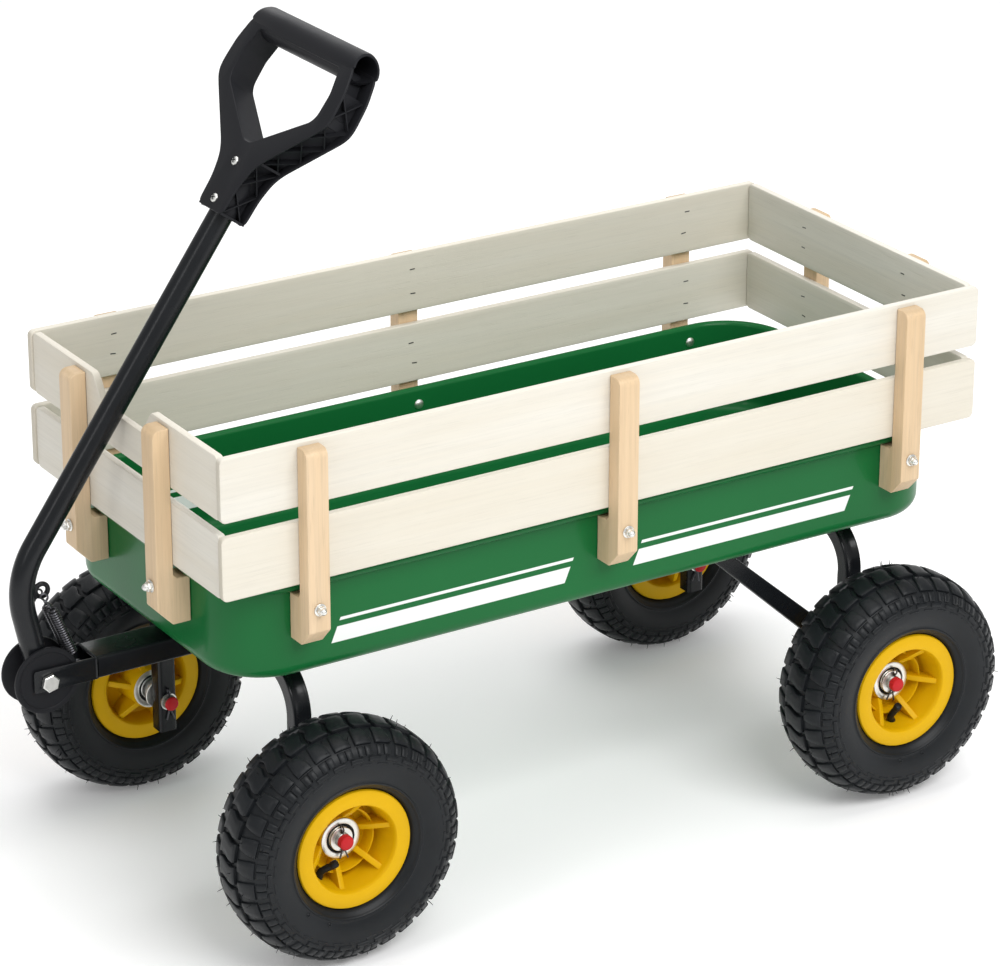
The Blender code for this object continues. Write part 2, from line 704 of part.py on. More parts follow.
def make_handle_tube():
    tube = swept_tube("handle_tube", handle_path(), Vector((0, 1, 0)), circle(HANDLE_RADIUS, 16),
                      circle(HANDLE_RADIUS - HANDLE_WALL, 16))
    join(tube, make_ear())
    hinge = (HINGE_X, 0, HINGE_HEIGHT)
    cut(tube, rod("handle_hinge_hole", HINGE_BOLT_RADIUS + GAP, 4 * HANDLE_RADIUS, hinge, "Y", 16))
    keep(tube, "black_paint")


def ear_point():
    """The hole in the spring ear, level with it behind the middle of the handle tube."""
    path = handle_path()
    for low, high in zip(path, path[1:]):
        if low.z <= EAR_HEIGHT <= high.z:
            share = (EAR_HEIGHT - low.z) / (high.z - low.z)
            return low.lerp(high, share) + Vector((EAR_BACK, 0, 0))


def make_ear():
    hole = ear_point()
    steps = 16
    ring = [(EAR_RADIUS * math.cos(angle), EAR_RADIUS * math.sin(angle))
            for angle in (math.radians(-125 + 250 * i / steps) for i in range(steps + 1))]
    root = -(EAR_BACK - HANDLE_RADIUS) - 0.0008
    outline = ring + [(root, 0.010), (root, -0.010)]
    hole_edge = circle(EAR_HOLE, 12)
    frame = plane_frame(hole, (1, 0, 0), (0, 0, 1))
    return to_mesh(flat_outline("spring_ear", [outline, hole_edge], EAR_THICK, frame))


def grip_outlines():
    """The D-shaped grip seen flat: (distance along the handle, distance to the side)."""
    edge = [(0.0, 0.0235), (0.030, 0.0250), (0.050, 0.0310), (0.062, 0.0400), (0.116, 0.1010),
            (0.124, 0.1070), (0.134, 0.1090), (0.160, 0.1070), (0.187, 0.0980)]
    hole = [(0.0750, 0.0060), (0.1200, 0.0800), (0.1280, 0.0850), (0.1520, 0.0860), (0.1790, 0.0780)]
    outer = edge + [(along, -side) for along, side in reversed(edge)]
    inner = hole + [(along, -side) for along, side in reversed(hole)]
    return outer, inner


def make_grip():
    base = socket_point()
    frame = plane_frame(base, HANDLE_UP, (0, 1, 0))
    outer, inner = grip_outlines()
    grip = to_mesh(flat_outline("handle_grip", [outer, inner], GRIP_THICK - 0.004, frame))
    join(grip, rod("grip_bar", GRIP_BAR_RADIUS, 2 * GRIP_BAR_HALF, base + HANDLE_UP * GRIP_BAR_AT,
                   "Y", 18))
    socket = rod("grip_socket", HANDLE_RADIUS + GAP, 2 * SOCKET_DEPTH, base, "Z", 20)
    socket.rotation_euler = (0, HANDLE_LEAN, 0)
    cut(grip, socket)
    keep(grip, "black_plastic")


def make_springs():
    """Two return springs side by side, from the ear down into the tongue's mouth, as plain bars."""
    top = ear_point() + Vector((0.004, 0, -0.020))
    bottom = Vector((FRONT_AXLE_X - TONGUE_MOUTH - 0.013, 0, TONGUE_TOP - 0.008))
    middle = (top + bottom) / 2
    for side, sign in (("left", -1), ("right", 1)):
        place = middle + Vector((0, sign * SPRING_SPACING / 2, 0))
        spring = rod(f"{side}_return_spring", SPRING_RADIUS, (top - bottom).length, place, "Z", 12)
        spring.rotation_euler = (0, math.atan2(top.x - bottom.x, top.z - bottom.z), 0)
        keep(spring, "black_paint")


def main():
    global parts_collection, cutter_collection
    clear_scene()
    parts_collection = make_collection(MODEL)
    cutter_collection = make_collection("cutters")
    make_materials()
    make_tub()
    make_slats()
    make_stakes()
    make_stake_bolts()
    make_running_gear()
    make_braces()
    make_wheels()
    make_tongue()
    make_hinge()
    make_handle_tube()
    make_grip()
    make_springs()


main()
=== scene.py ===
"""The looks of a child's pull wagon: its enamelled tub, basswood rails, lugged tyres on dished
plastic hubs, bent arches, hinged pull handle and return springs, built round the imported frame.

Metres, +Z up. The handle is at -X, and -Y is the wagon's left side.
"""

import math
import random

import bmesh
import bpy
from mathutils import Matrix, Vector


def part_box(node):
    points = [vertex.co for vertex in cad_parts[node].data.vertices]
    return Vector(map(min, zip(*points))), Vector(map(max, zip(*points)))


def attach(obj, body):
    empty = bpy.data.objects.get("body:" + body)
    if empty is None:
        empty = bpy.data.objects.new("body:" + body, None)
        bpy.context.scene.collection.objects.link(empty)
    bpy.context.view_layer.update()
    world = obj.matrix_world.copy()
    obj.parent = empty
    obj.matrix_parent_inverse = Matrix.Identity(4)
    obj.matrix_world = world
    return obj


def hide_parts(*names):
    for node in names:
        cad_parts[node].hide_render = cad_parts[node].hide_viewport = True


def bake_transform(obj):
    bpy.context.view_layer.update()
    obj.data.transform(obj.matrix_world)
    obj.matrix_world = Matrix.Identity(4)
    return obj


bl_info = {
    "name": "Pull Wagon Looks",
    "version": (1, 0, 0),
    "blender": (4, 5, 0),
    "location": "View3D > Sidebar > Wagon",
    "description": "Builds the fine pieces and finishes of a slatted pull wagon on its frame",
    "category": "Object",
}

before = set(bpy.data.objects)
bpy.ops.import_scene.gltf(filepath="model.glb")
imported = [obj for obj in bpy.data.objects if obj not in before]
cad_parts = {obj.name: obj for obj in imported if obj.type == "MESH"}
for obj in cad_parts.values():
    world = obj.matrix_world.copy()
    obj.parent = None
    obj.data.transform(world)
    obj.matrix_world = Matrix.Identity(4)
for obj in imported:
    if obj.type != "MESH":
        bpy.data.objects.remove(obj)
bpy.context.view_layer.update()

X_AXIS = Vector((1, 0, 0))
Y_AXIS = Vector((0, 1, 0))
Z_AXIS = Vector((0, 0, 1))
CHASSIS = "tub_and_rear_axle"
STEERING = "front_steering"
HANDLE = "pull_handle"


def middle_of(node):
    low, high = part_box(node)
    return (low + high) / 2


# Places and sizes read from the frame
TUB_LOW, TUB_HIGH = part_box("tub")
TUB_X = middle_of("tub").x
RIM_REACH = 0.0085
WALL_X = (TUB_HIGH.x - TUB_LOW.x) / 2 - RIM_REACH
WALL_Y = TUB_HIGH.y - RIM_REACH
SHEET = 0.0012
TUB_CORNER = 0.068
TUB_FILLET = 0.016
RAIL_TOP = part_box("left_upper_slat")[1].z
RAIL_FRONT_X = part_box("front_upper_slat")[0].x
ARCH_LOW, ARCH_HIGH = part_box("rear_axle_arch")
ARCH_TUBE = 0.020
ARCH_WALL = 0.002
ARCH_BEND = 0.045
LEG_Y = ARCH_HIGH.y - ARCH_TUBE / 2
FRONT_AXLE_X = middle_of("front_left_tyre").x
REAR_AXLE_X = middle_of("rear_left_tyre").x
AXLE_Z = middle_of("front_left_tyre").z
HINGE = Vector((middle_of("hinge_bolt").x, 0, middle_of("hinge_bolt").z))
TONGUE_LOW, TONGUE_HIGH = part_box("tongue")
WHEELS = ("front_left", "front_right", "rear_left", "rear_right")

# The handle's line, which repeats the design's driving dimensions
HANDLE_LEAN = math.radians(35.3)
HANDLE_UP = Vector((math.sin(HANDLE_LEAN), 0, math.cos(HANDLE_LEAN)))
HANDLE_FRONT = Vector((-math.cos(HANDLE_LEAN), 0, math.sin(HANDLE_LEAN)))
HANDLE_RADIUS = 0.0125
HANDLE_WALL = 0.0015
HANDLE_CLEARANCE = 0.003
NOTCH_DEPTH = 0.028
NOTCH_FLOOR = 0.038
NOTCH_SHOULDER = 0.066
KNEE_HEIGHT = 0.372
KNEE_RADIUS = 0.090
SOCKET_HEIGHT = 0.7075
SOCKET_DEPTH = 0.058
EAR_BACK = 0.0215
EAR_HEIGHT = 0.357
TONGUE_MOUTH_X = FRONT_AXLE_X - 0.159


# ---------------------------------------------------------------- what a user may change

class WagonSizes(bpy.types.PropertyGroup):
    """Fine sizes of the wagon's pieces."""

    board_edge: bpy.props.FloatProperty(
        name="Board edge", description="Rounding of the rail boards' edges",
        default=0.0012, unit="LENGTH")
    post_edge: bpy.props.FloatProperty(
        name="Post edge", description="Rounding of the posts' edges", default=0.0010, unit="LENGTH")
    tread_pitches: bpy.props.IntProperty(
        name="Tread pitches", description="Lugs round each tyre", default=32, min=12, max=60)
    lug_height: bpy.props.FloatProperty(
        name="Lug height", description="Height of the middle row of lugs", default=0.0036,
        unit="LENGTH")
    hair_count: bpy.props.IntProperty(
        name="Moulding hairs", description="Rubber hairs left on each new tyre", default=84)
    rib_thickness: bpy.props.FloatProperty(
        name="Hub rib", description="Thickness of the hub's ribs", default=0.0062, unit="LENGTH")
    weld_radius: bpy.props.FloatProperty(
        name="Weld bead", description="Half width of a weld bead", default=0.0022, unit="LENGTH")
    grip_wall: bpy.props.FloatProperty(
        name="Grip wall", description="Thickness of the grip's face plates", default=0.0030,
        unit="LENGTH")
    spring_wire: bpy.props.FloatProperty(
        name="Spring wire", description="Radius of the return springs' wire", default=0.0011,
        unit="LENGTH")
    spring_turns: bpy.props.IntProperty(
        name="Spring turns", description="Turns of each return spring", default=21, min=4, max=60)


def colour_property(name, description, default):
    return bpy.props.FloatVectorProperty(name=name, description=description, subtype="COLOR",
                                         size=3, min=0.0, max=1.0, default=default)


class WagonColours(bpy.types.PropertyGroup):
    """Linear colours of the wagon's finishes."""

    enamel: colour_property("Tub enamel", "Green of the tub", (0.0065, 0.122, 0.030))
    stripe: colour_property("Tub stripe", "Plain stripes on the tub's sides", (0.80, 0.83, 0.81))
    board: colour_property("Board wood", "Pale wood of the rails", (0.715, 0.695, 0.635))
    post: colour_property("Post wood", "Warmer wood of the posts", (0.70, 0.54, 0.365))
    black: colour_property("Black enamel", "Arches, tongue and handle", (0.0075, 0.0085, 0.0100))
    grip: colour_property("Grip plastic", "Moulded grip", (0.0140, 0.0145, 0.0170))
    rubber: colour_property("Rubber", "Tyres and valves", (0.0078, 0.0092, 0.0108))
    hub: colour_property("Hub plastic", "Moulded wheels", (0.665, 0.385, 0.0012))
    cap: colour_property("Cap red", "End caps of the axles", (0.50, 0.020, 0.026))
    zinc: colour_property("Zinc plate", "Bolts, washers and bearings", (0.80, 0.80, 0.77))
    steel: colour_property("Spring steel", "Springs and nails", (0.10, 0.10, 0.11))
    floor: colour_property("Floor", "Plain floor of the stage", (0.96, 0.96, 0.96))


# ---------------------------------------------------------------- shader maths

class Wire:
    """A socket that takes part in sums, so that shader maths reads as plain expressions."""

    def __init__(self, shop, socket):
        self.shop = shop
        self.socket = socket

    def maths(self, operation, *values, clamp=False):
        settings = {"operation": operation, "use_clamp": clamp}
        return self.shop.node("ShaderNodeMath", settings, dict(enumerate(values)))

    def __add__(self, other):
        return self.maths("ADD", self, other)

    __radd__ = __add__

    def __sub__(self, other):
        return self.maths("SUBTRACT", self, other)

    def __rsub__(self, other):
        return self.maths("SUBTRACT", other, self)

    def __mul__(self, other):
        return self.maths("MULTIPLY", self, other)

    __rmul__ = __mul__

    def __pow__(self, other):
        return self.maths("POWER", self, other)

    def __abs__(self):
        return self.maths("ABSOLUTE", self)

    def above(self, edge, soft):
        """0 below `edge`, 1 above it, with a ramp as wide as `soft`."""
        return self.maths("MULTIPLY_ADD", self, 1 / soft, 0.5 - edge / soft, clamp=True)

    def between(self, low, high, soft):
        return self.above(low, soft) * (1 - self.above(high, soft))


class Shop:
    """One material's node tree."""

    def __init__(self, name):
        self.material = bpy.data.materials.new(name)
        self.material.use_nodes = True
        self.tree = self.material.node_tree
        self.shader = self.tree.nodes["Principled BSDF"]

    def node(self, kind, settings=None, sockets=None, output=0):
        made = self.tree.nodes.new(kind)
        for name, value in (settings or {}).items():
            setattr(made, name, value)
        for key, value in (sockets or {}).items():
            self.feed(made.inputs[key], value)
        return Wire(self, made.outputs[output])

    def feed(self, socket, value):
        if isinstance(value, Wire):
            self.tree.links.new(value.socket, socket)
        elif socket.type == "RGBA":
            socket.default_value = (*value[:3], 1.0)
        else:
            socket.default_value = value

    def point(self):
        return self.node("ShaderNodeTexCoord", output="Object")

    def normal(self):
        return self.node("ShaderNodeTexCoord", output="Normal")

    def part(self, vector, axis):
        return self.node("ShaderNodeSeparateXYZ", None, {0: vector}, axis)

    def stretched(self, vector, scale, shift=None):
        """`vector` times `scale`, moved by the same `shift` on each axis."""
        moved = self.node("ShaderNodeVectorMath", {"operation": "MULTIPLY"}, {0: vector, 1: scale})
        if shift is None:
            return moved
        return self.node("ShaderNodeVectorMath", {"operation": "ADD"}, {0: moved, 1: shift})

    def noise(self, vector, scale, detail=3.0, roughness=0.5):
        sockets = {"Vector": vector, "Scale": scale, "Detail": detail, "Roughness": roughness}
        return self.node("ShaderNodeTexNoise", None, sockets)

    def mix(self, share, first, second):
        """Colours mixed by `share`: an RGBA Mix node keeps its colours in sockets 6 and 7."""
        sockets = {0: share, 6: first, 7: second}
        return self.node("ShaderNodeMix", {"data_type": "RGBA"}, sockets, 2)

    def bump(self, height, distance, strength=1.0):
        sockets = {"Strength": strength, "Distance": distance, "Height": height}
        return self.node("ShaderNodeBump", None, sockets)

    def finish(self, **inputs):
        """Feeds the shader: base_color=..., roughness=..., and so on, and gives the material."""
        for key, value in inputs.items():
            label = key.replace("_", " ").title().replace("Ior", "IOR")
            self.feed(self.shader.inputs[label], value)
        return self.material


def shade(colour, share):
    return tuple(min(1.0, part * share) for part in colour)


def enamel_finish(colours):
    """Glossy green stove enamel with plain white stripes on the tub's two sides."""
    shop = Shop("enamel")
    point = shop.point()
    cloud = shop.noise(point, 7.0, 2.0)
    peel = shop.noise(point, 420.0, 1.0)
    green = shop.mix(cloud, shade(colours.enamel, 0.93), shade(colours.enamel, 1.07))
    x = shop.part(point, 0)
    z = shop.part(point, 2)
    leaned = x - 0.42 * z
    along = leaned.between(-0.315 - 0.14, -0.044 - 0.14, 0.0006)
    along = along + leaned.between(0.039 - 0.14, 0.306 - 0.14, 0.0006)
    bands = z.between(0.3180, 0.3345, 0.0004) + z.between(0.3405, 0.3437, 0.0004)
    side = abs(shop.part(shop.normal(), 1)).above(0.9, 0.1)
    paint = shop.mix(along * bands * side, green, tuple(colours.stripe))
    return shop.finish(base_color=paint, roughness=0.26 + 0.08 * cloud, coat_weight=0.10,
                       coat_roughness=0.05, specular_ior_level=0.12,
                       normal=shop.bump(peel, 0.00006))


def wood_finish(name, colour, figure, fibre, depth):
    """Sealed timber with its grain along each piece's own X, and end grain across its ends."""
    shop = Shop(name)
    luck = shop.node("ShaderNodeObjectInfo", output="Random")
    shift = shop.node("ShaderNodeCombineXYZ", None, {0: luck * 9.0, 1: luck * 31.0, 2: luck * 17.0})
    point = shop.point()
    broad = shop.noise(shop.stretched(point, (1.6, 17.0, 17.0), shift), 1.6, 4.0, 0.55)
    streaks = shop.noise(shop.stretched(point, (5.0, 300.0, 300.0), shift), 1.0, 3.0, 0.6)
    pores = shop.noise(shop.stretched(point, (28.0, 900.0, 900.0), shift), 1.0, 1.0)
    pores = pores.above(0.66, 0.10)
    ends = abs(shop.part(shop.normal(), 0)).above(0.75, 0.3)
    rings = shop.noise(shop.stretched(point, (1.0, 60.0, 420.0), shift), 1.0, 2.0)
    grain = broad.above(0.5, 0.5)
    body = shop.mix(grain, shade(colour, 1.0 + figure * 0.35),
                    (colour[0] * (1 - figure * 0.55), colour[1] * (1 - figure * 0.85),
                     colour[2] * (1 - figure * 1.35)))
    body = shop.mix(streaks.above(0.56, 0.28) * fibre, body, shade(colour, 0.72))
    body = shop.mix(pores * (fibre * 0.55), body, shade(colour, 0.50))
    warm = (colour[0] * 0.93, colour[1] * 0.87, colour[2] * 0.76)
    body = shop.mix(luck * 0.38, body, warm)
    body = shop.mix(ends * (0.35 + 0.4 * rings), body, shade(warm, 0.72))
    relief = streaks * 0.7 + broad * 0.3 - pores * 0.5
    return shop.finish(base_color=body, roughness=0.50 + 0.14 * streaks, specular_ior_level=0.38,
                       normal=shop.bump(relief, depth))


def board_finish(colours):
    return wood_finish("basswood", tuple(colours.board), 0.11, 0.20, 0.00012)


def post_finish(colours):
    return wood_finish("pine", tuple(colours.post), 0.26, 0.42, 0.00018)


def black_finish(colours):
    """Glossy black enamel with the slight orange peel of a dipped coat."""
    shop = Shop("black_enamel")
    point = shop.point()
    peel = shop.noise(point, 340.0, 2.0)
    cloud = shop.noise(point, 26.0, 3.0)
    colour = shop.mix(cloud, shade(colours.black, 0.8), shade(colours.black, 1.35))
    return shop.finish(base_color=colour, roughness=0.18 + 0.14 * cloud, specular_ior_level=0.26,
                       normal=shop.bump(peel, 0.00010))


def plastic_finish(name, colour, roughness, grain):
    """Moulded plastic: a fine spark-eroded grain and faint flow marks."""
    shop = Shop(name)
    point = shop.point()
    fine = shop.noise(point, grain, 2.0, 0.6)
    flow = shop.noise(shop.stretched(point, (14.0, 30.0, 22.0)), 1.0, 3.0)
    paint = shop.mix(flow, shade(colour, 0.90), shade(colour, 1.10))
    return shop.finish(base_color=paint, roughness=roughness + 0.12 * (flow - 0.5) + 0.08 * fine,
                       specular_ior_level=0.14, normal=shop.bump(fine, 0.00008))


def grip_finish(colours):
    return plastic_finish("black_nylon", tuple(colours.grip), 0.42, 1500.0)


def hub_finish(colours):
    return plastic_finish("yellow_moulding", tuple(colours.hub), 0.36, 700.0)


def cap_finish(colours):
    return plastic_finish("red_moulding", tuple(colours.cap), 0.38, 900.0)


def disc_finish(colours):
    return plastic_finish("black_moulding", shade(colours.grip, 0.9), 0.46, 1100.0)


def rubber_finish(colours):
    """New tyre rubber: bluish black, a waxy bloom in patches, fine mould grain."""
    shop = Shop("rubber")
    point = shop.point()
    bloom = shop.noise(point, 24.0, 4.0, 0.6)
    grain = shop.noise(point, 1300.0, 2.0, 0.6)
    paint = shop.mix(bloom.above(0.5, 0.5), shade(colours.rubber, 0.8), shade(colours.rubber, 1.35))
    return shop.finish(base_color=paint, roughness=0.24 + 0.22 * bloom + 0.08 * grain,
                       specular_ior_level=0.22, normal=shop.bump(grain, 0.00010))


def metal_finish(name, colour, roughness, turned):
    """Plated metal: `turned` stretches the fine lathe marks round the piece's own Z."""
    shop = Shop(name)
    point = shop.point()
    lines = shop.noise(shop.stretched(point, (turned, turned, 2600.0)), 1.0, 2.0)
    stain = shop.noise(point, 160.0, 3.0)
    paint = shop.mix(stain.above(0.5, 0.6), shade(colour, 0.84), shade(colour, 1.08))
    return shop.finish(base_color=paint, metallic=1.0, roughness=roughness + 0.16 * stain,
                       normal=shop.bump(lines, 0.00004))


def zinc_finish(colours):
    return metal_finish("zinc_plate", tuple(colours.zinc), 0.30, 300.0)


def steel_finish(colours):
    return metal_finish("oiled_steel", tuple(colours.steel), 0.30, 900.0)


def bare_finish(colours):
    # The zinc colour darkened to 0.42, for the bare axle ends between the washers and the caps.
    return metal_finish("dark_axle_steel", shade(colours.zinc, 0.42), 0.34, 700.0)


def floor_finish(colours):
    """Matt seamless floor."""
    shop = Shop("studio_floor")
    cloud = shop.noise(shop.point(), 1.3, 2.0)
    paint = shop.mix(cloud, shade(colours.floor, 0.995), tuple(colours.floor))
    return shop.finish(base_color=paint, roughness=0.85, specular_ior_level=0.1,
                       emission_color=(1, 1, 1, 1), emission_strength=0.13)


FINISHES = {
    "enamel": enamel_finish, "board": board_finish, "post": post_finish, "black": black_finish,
    "grip": grip_finish, "hub": hub_finish, "cap": cap_finish, "disc": disc_finish,
    "rubber": rubber_finish, "zinc": zinc_finish, "steel": steel_finish, "bare": bare_finish,
    "floor": floor_finish,
}
made_finishes = {}


def finish_named(name):
    if name not in made_finishes:
        made_finishes[name] = FINISHES[name](bpy.context.scene.wagon_colours)
    return made_finishes[name]


# ---------------------------------------------------------------- mesh helpers

def frame_at(origin, across, up):
    """A place at `origin` whose X runs `across`, whose Y runs `up`, and whose Z is their normal."""
    x_axis = Vector(across).normalized()
    z_axis = x_axis.cross(Vector(up)).normalized()
    y_axis = z_axis.cross(x_axis)
    place = Matrix((x_axis, y_axis, z_axis)).transposed().to_4x4()
    place.translation = Vector(origin)
    return place


def facing(origin, outward, turn_angle=0.0):
    """A place whose Z faces `outward` and whose Y is up, turned about Z by `turn_angle`."""
    outward = Vector(outward)
    up = Z_AXIS if abs(outward.z) < 0.9 else Y_AXIS
    return frame_at(origin, up.cross(outward), up) @ Matrix.Rotation(turn_angle, 4, "Z")


def bridge(bm, first, second, closed=True, material=0):
    """Faces between two rings of vertices, where a ring of one is a point."""
    count = max(len(first), len(second))
    for i in range(count if closed else count - 1):
        j = (i + 1) % count
        if len(first) == 1:
            corners = (first[0], second[j], second[i])
        elif len(second) == 1:
            corners = (first[i], first[j], second[0])
        else:
            corners = (first[i], first[j], second[j], second[i])
        bm.faces.new(corners).material_index = material


def loft(bm, rings, material=0, looped=False, capped=False):
    """Skins a list of rings of points."""
    skins = [[bm.verts.new(point) for point in ring] for ring in rings]
    for first, second in zip(skins, skins[1:]):
        bridge(bm, first, second, True, material)
    if looped:
        bridge(bm, skins[-1], skins[0], True, material)
    if capped:
        for ring in (skins[0], skins[-1]):
            if len(ring) > 2:
                bm.faces.new(ring).material_index = material


def turn(bm, profile, steps, place=None, material=0, looped=False):
    """Turns (radius, height) points about the Z of `place`; a radius of zero makes a point."""
    place = place or Matrix.Identity(4)
    rings = []
    for radius, height in profile:
        if radius < 1e-7:
            rings.append([place @ Vector((0, 0, height))])
            continue
        rings.append([place @ Vector((radius * math.cos(angle), radius * math.sin(angle), height))
                      for angle in (2 * math.pi * i / steps for i in range(steps))])
    loft(bm, rings, material, looped)


def hexagon(bm, radius, low, high, place, material=0):
    """A hexagonal nut or head from `low` to `high`, with its corners chamfered."""
    chamfer = (high - low) * 0.14
    profile = [(0, low), (radius * 0.93, low), (radius, low + chamfer), (radius, high - chamfer),
               (radius * 0.90, high), (0, high)]
    turn(bm, profile, 6, place, material)


def circle(radius, steps, start=0.0):
    angles = [start + 2 * math.pi * i / steps for i in range(steps)]
    return [(radius * math.cos(angle), radius * math.sin(angle)) for angle in angles]


def rounded_rectangle(half_x, half_y, radius, steps):
    points = []
    for corner, (sign_x, sign_y) in enumerate(((1, 1), (-1, 1), (-1, -1), (1, -1))):
        for step in range(steps + 1):
            angle = math.pi / 2 * (corner + step / steps)
            points.append((sign_x * (half_x - radius) + radius * math.cos(angle),
                           sign_y * (half_y - radius) + radius * math.sin(angle)))
    return points


def swept_rings(path, section, side, widths=None):
    """Rings of `section` along `path`. `side` is where the section's first axis points at the
    start; it is carried along without twisting. `section` may be one outline or one a point."""
    rings = []
    across = side.copy()
    for i, point in enumerate(path):
        ahead = (path[min(i + 1, len(path) - 1)] - path[max(i - 1, 0)]).normalized()
        across = (across - ahead * across.dot(ahead)).normalized()
        up = across.cross(ahead)
        outline = section[i] if isinstance(section[0], list) else section
        width = widths[i] if widths else 1.0
        rings.append([point + across * a * width + up * b * width for a, b in outline])
    return rings


def sweep(bm, path, section, side, material=0, widths=None):
    loft(bm, swept_rings(path, section, side, widths), material, capped=True)


def tube(bm, path, outer, inner, side, material=0):
    """A hollow tube, open at both ends."""
    outside = swept_rings(path, outer, side)
    inside = swept_rings(path, inner, side)
    loft(bm, outside + inside[::-1], material, looped=True)


def bent_path(start, corner, end, radius, steps):
    """From `start` to `end` by way of a round bend at `corner`, with points along the straights."""
    before = (start - corner).normalized()
    after = (end - corner).normalized()
    half_angle = before.angle(after) / 2
    tangent = radius / math.tan(half_angle)
    centre = corner + (before + after).normalized() * radius / math.sin(half_angle)
    first = (corner + before * tangent - centre).normalized()
    last = (corner + after * tangent - centre).normalized()
    bend = [centre + first.slerp(last, i / steps) * radius for i in range(steps + 1)]
    lead = [start.lerp(bend[0], share) for share in (0, 0.5, 0.96)]
    tail = [bend[-1].lerp(end, share) for share in (0.04, 0.5, 1)]
    return lead + bend + tail


def smooth_points(points, steps):
    """A smooth curve through `points`, with `steps` stretches between each two."""
    made = []
    for i in range(len(points) - 1):
        before = points[max(i - 1, 0)]
        here = points[i]
        there = points[i + 1]
        after = points[min(i + 2, len(points) - 1)]
        for step in range(steps):
            t = step / steps
            made.append(tuple(
                0.5 * (2 * b + (c - a) * t + (2 * a - 5 * b + 4 * c - d) * t * t
                       + (3 * b - a - 3 * c + d) * t * t * t)
                for a, b, c, d in zip(before, here, there, after)))
    return made + [tuple(points[-1])]


def rounded_outline(points, radius, steps=5):
    """A closed outline with each corner eased over `radius`, or over half of a short side."""
    made = []
    count = len(points)
    for i in range(count):
        corner = Vector(points[i])
        before = Vector(points[i - 1]) - corner
        after = Vector(points[(i + 1) % count]) - corner
        start = corner + before.normalized() * min(radius, before.length * 0.48)
        end = corner + after.normalized() * min(radius, after.length * 0.48)
        for step in range(steps + 1):
            t = step / steps
            made.append(tuple(start * (1 - t) ** 2 + corner * 2 * t * (1 - t) + end * t * t))
    return made


def offset_outline(points, distance):
    """The outline moved sideways, away from its middle for a positive distance."""
    area = sum(a[0] * b[1] - b[0] * a[1] for a, b in zip(points, points[1:] + points[:1]))
    sign = 1 if area > 0 else -1
    made = []
    for i, point in enumerate(points):
        ahead = (Vector(points[(i + 1) % len(points)]) - Vector(points[i - 1])).normalized()
        made.append((point[0] + ahead.y * distance * sign, point[1] - ahead.x * distance * sign))
    return made


def add_plate(bm, outlines, thickness, place, bevel, material=0):
    """Flat outlines, the first with the others as holes, filled, thickened and edge-rounded."""
    curve = bpy.data.curves.new("plate", "CURVE")
    curve.dimensions = "2D"
    curve.fill_mode = "BOTH"
    curve.extrude = thickness / 2 - bevel
    curve.bevel_depth = bevel
    curve.bevel_resolution = 2
    curve.offset = -bevel
    for outline in outlines:
        spline = curve.splines.new("POLY")
        spline.points.add(len(outline) - 1)
        for point, (a, b) in zip(spline.points, outline):
            point.co = (a, b, 0, 1)
        spline.use_cyclic_u = True
    flat = bpy.data.objects.new("plate", curve)
    bpy.context.scene.collection.objects.link(flat)
    evaluated = flat.evaluated_get(bpy.context.evaluated_depsgraph_get())
    mesh = bpy.data.meshes.new_from_object(evaluated)
    mesh.materials.clear()
    mesh.transform(place)
    old_faces = set(bm.faces)
    old_verts = set(bm.verts)
    bm.from_mesh(mesh)
    for face in bm.faces:
        if face not in old_faces:
            face.material_index = material
    fresh = [vert for vert in bm.verts if vert not in old_verts]
    bmesh.ops.remove_doubles(bm, verts=fresh, dist=0.00001)
    bpy.data.objects.remove(flat)
    bpy.data.curves.remove(curve)
    bpy.data.meshes.remove(mesh)


def add_bar(bm, start, end, depth, thickness, material=0):
    """A flat bar from `start` to `end`; `depth` is the vector of its width."""
    normal = (end - start).cross(depth).normalized() * thickness / 2
    half = depth / 2
    rings = [[point - half - normal, point + half - normal, point + half + normal,
              point - half + normal] for point in (start, end)]
    loft(bm, rings, material, capped=True)


def add_box(bm, place, size, material=0):
    """A small box with its centre at the origin of `place`."""
    half_x, half_y, half_z = (length / 2 for length in size)
    outline = ((half_x, half_y), (-half_x, half_y), (-half_x, -half_y), (half_x, -half_y))
    rings = [[place @ Vector((x, y, z)) for x, y in outline] for z in (-half_z, half_z)]
    loft(bm, rings, material, capped=True)


def add_weld(bm, path, radius, side, seed, material=0):
    """A rippled weld bead along straight stretches between the points of `path`."""
    dice = random.Random(seed)
    line = []
    for start, end in zip(path, path[1:]):
        count = max(2, round((end - start).length / (radius * 0.45)))
        line += [start.lerp(end, i / count) for i in range(count)]
    line.append(path[-1])
    widths = [(0.86 + 0.16 * (i % 3 == 0) + dice.uniform(-0.06, 0.06)) for i in range(len(line))]
    widths[0] = widths[-1] = 0.4
    sweep(bm, line, circle(radius, 8), side, material, widths)


def place_piece(name, mesh, body, replaces=(), place=None):
    made = bpy.data.objects.new(name, mesh)
    bpy.context.scene.collection.objects.link(made)
    made.matrix_world = place or Matrix.Identity(4)
    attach(made, body)
    if replaces:
        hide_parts(*replaces)
    return made


def mesh_from(name, bm, finishes, smooth_angle=38.0):
    bmesh.ops.recalc_face_normals(bm, faces=bm.faces)
    mesh = bpy.data.meshes.new(name)
    bm.to_mesh(mesh)
    bm.free()
    mesh.shade_smooth()
    mesh.set_sharp_from_angle(angle=math.radians(smooth_angle))
    for finish in finishes:
        mesh.materials.append(finish_named(finish))
    return mesh


def finish_piece(name, bm, body, finishes, replaces=(), place=None, smooth_angle=38.0):
    mesh = mesh_from(name, bm, finishes, smooth_angle)
    return place_piece(name, mesh, body, replaces, place)


# ---------------------------------------------------------------- tub

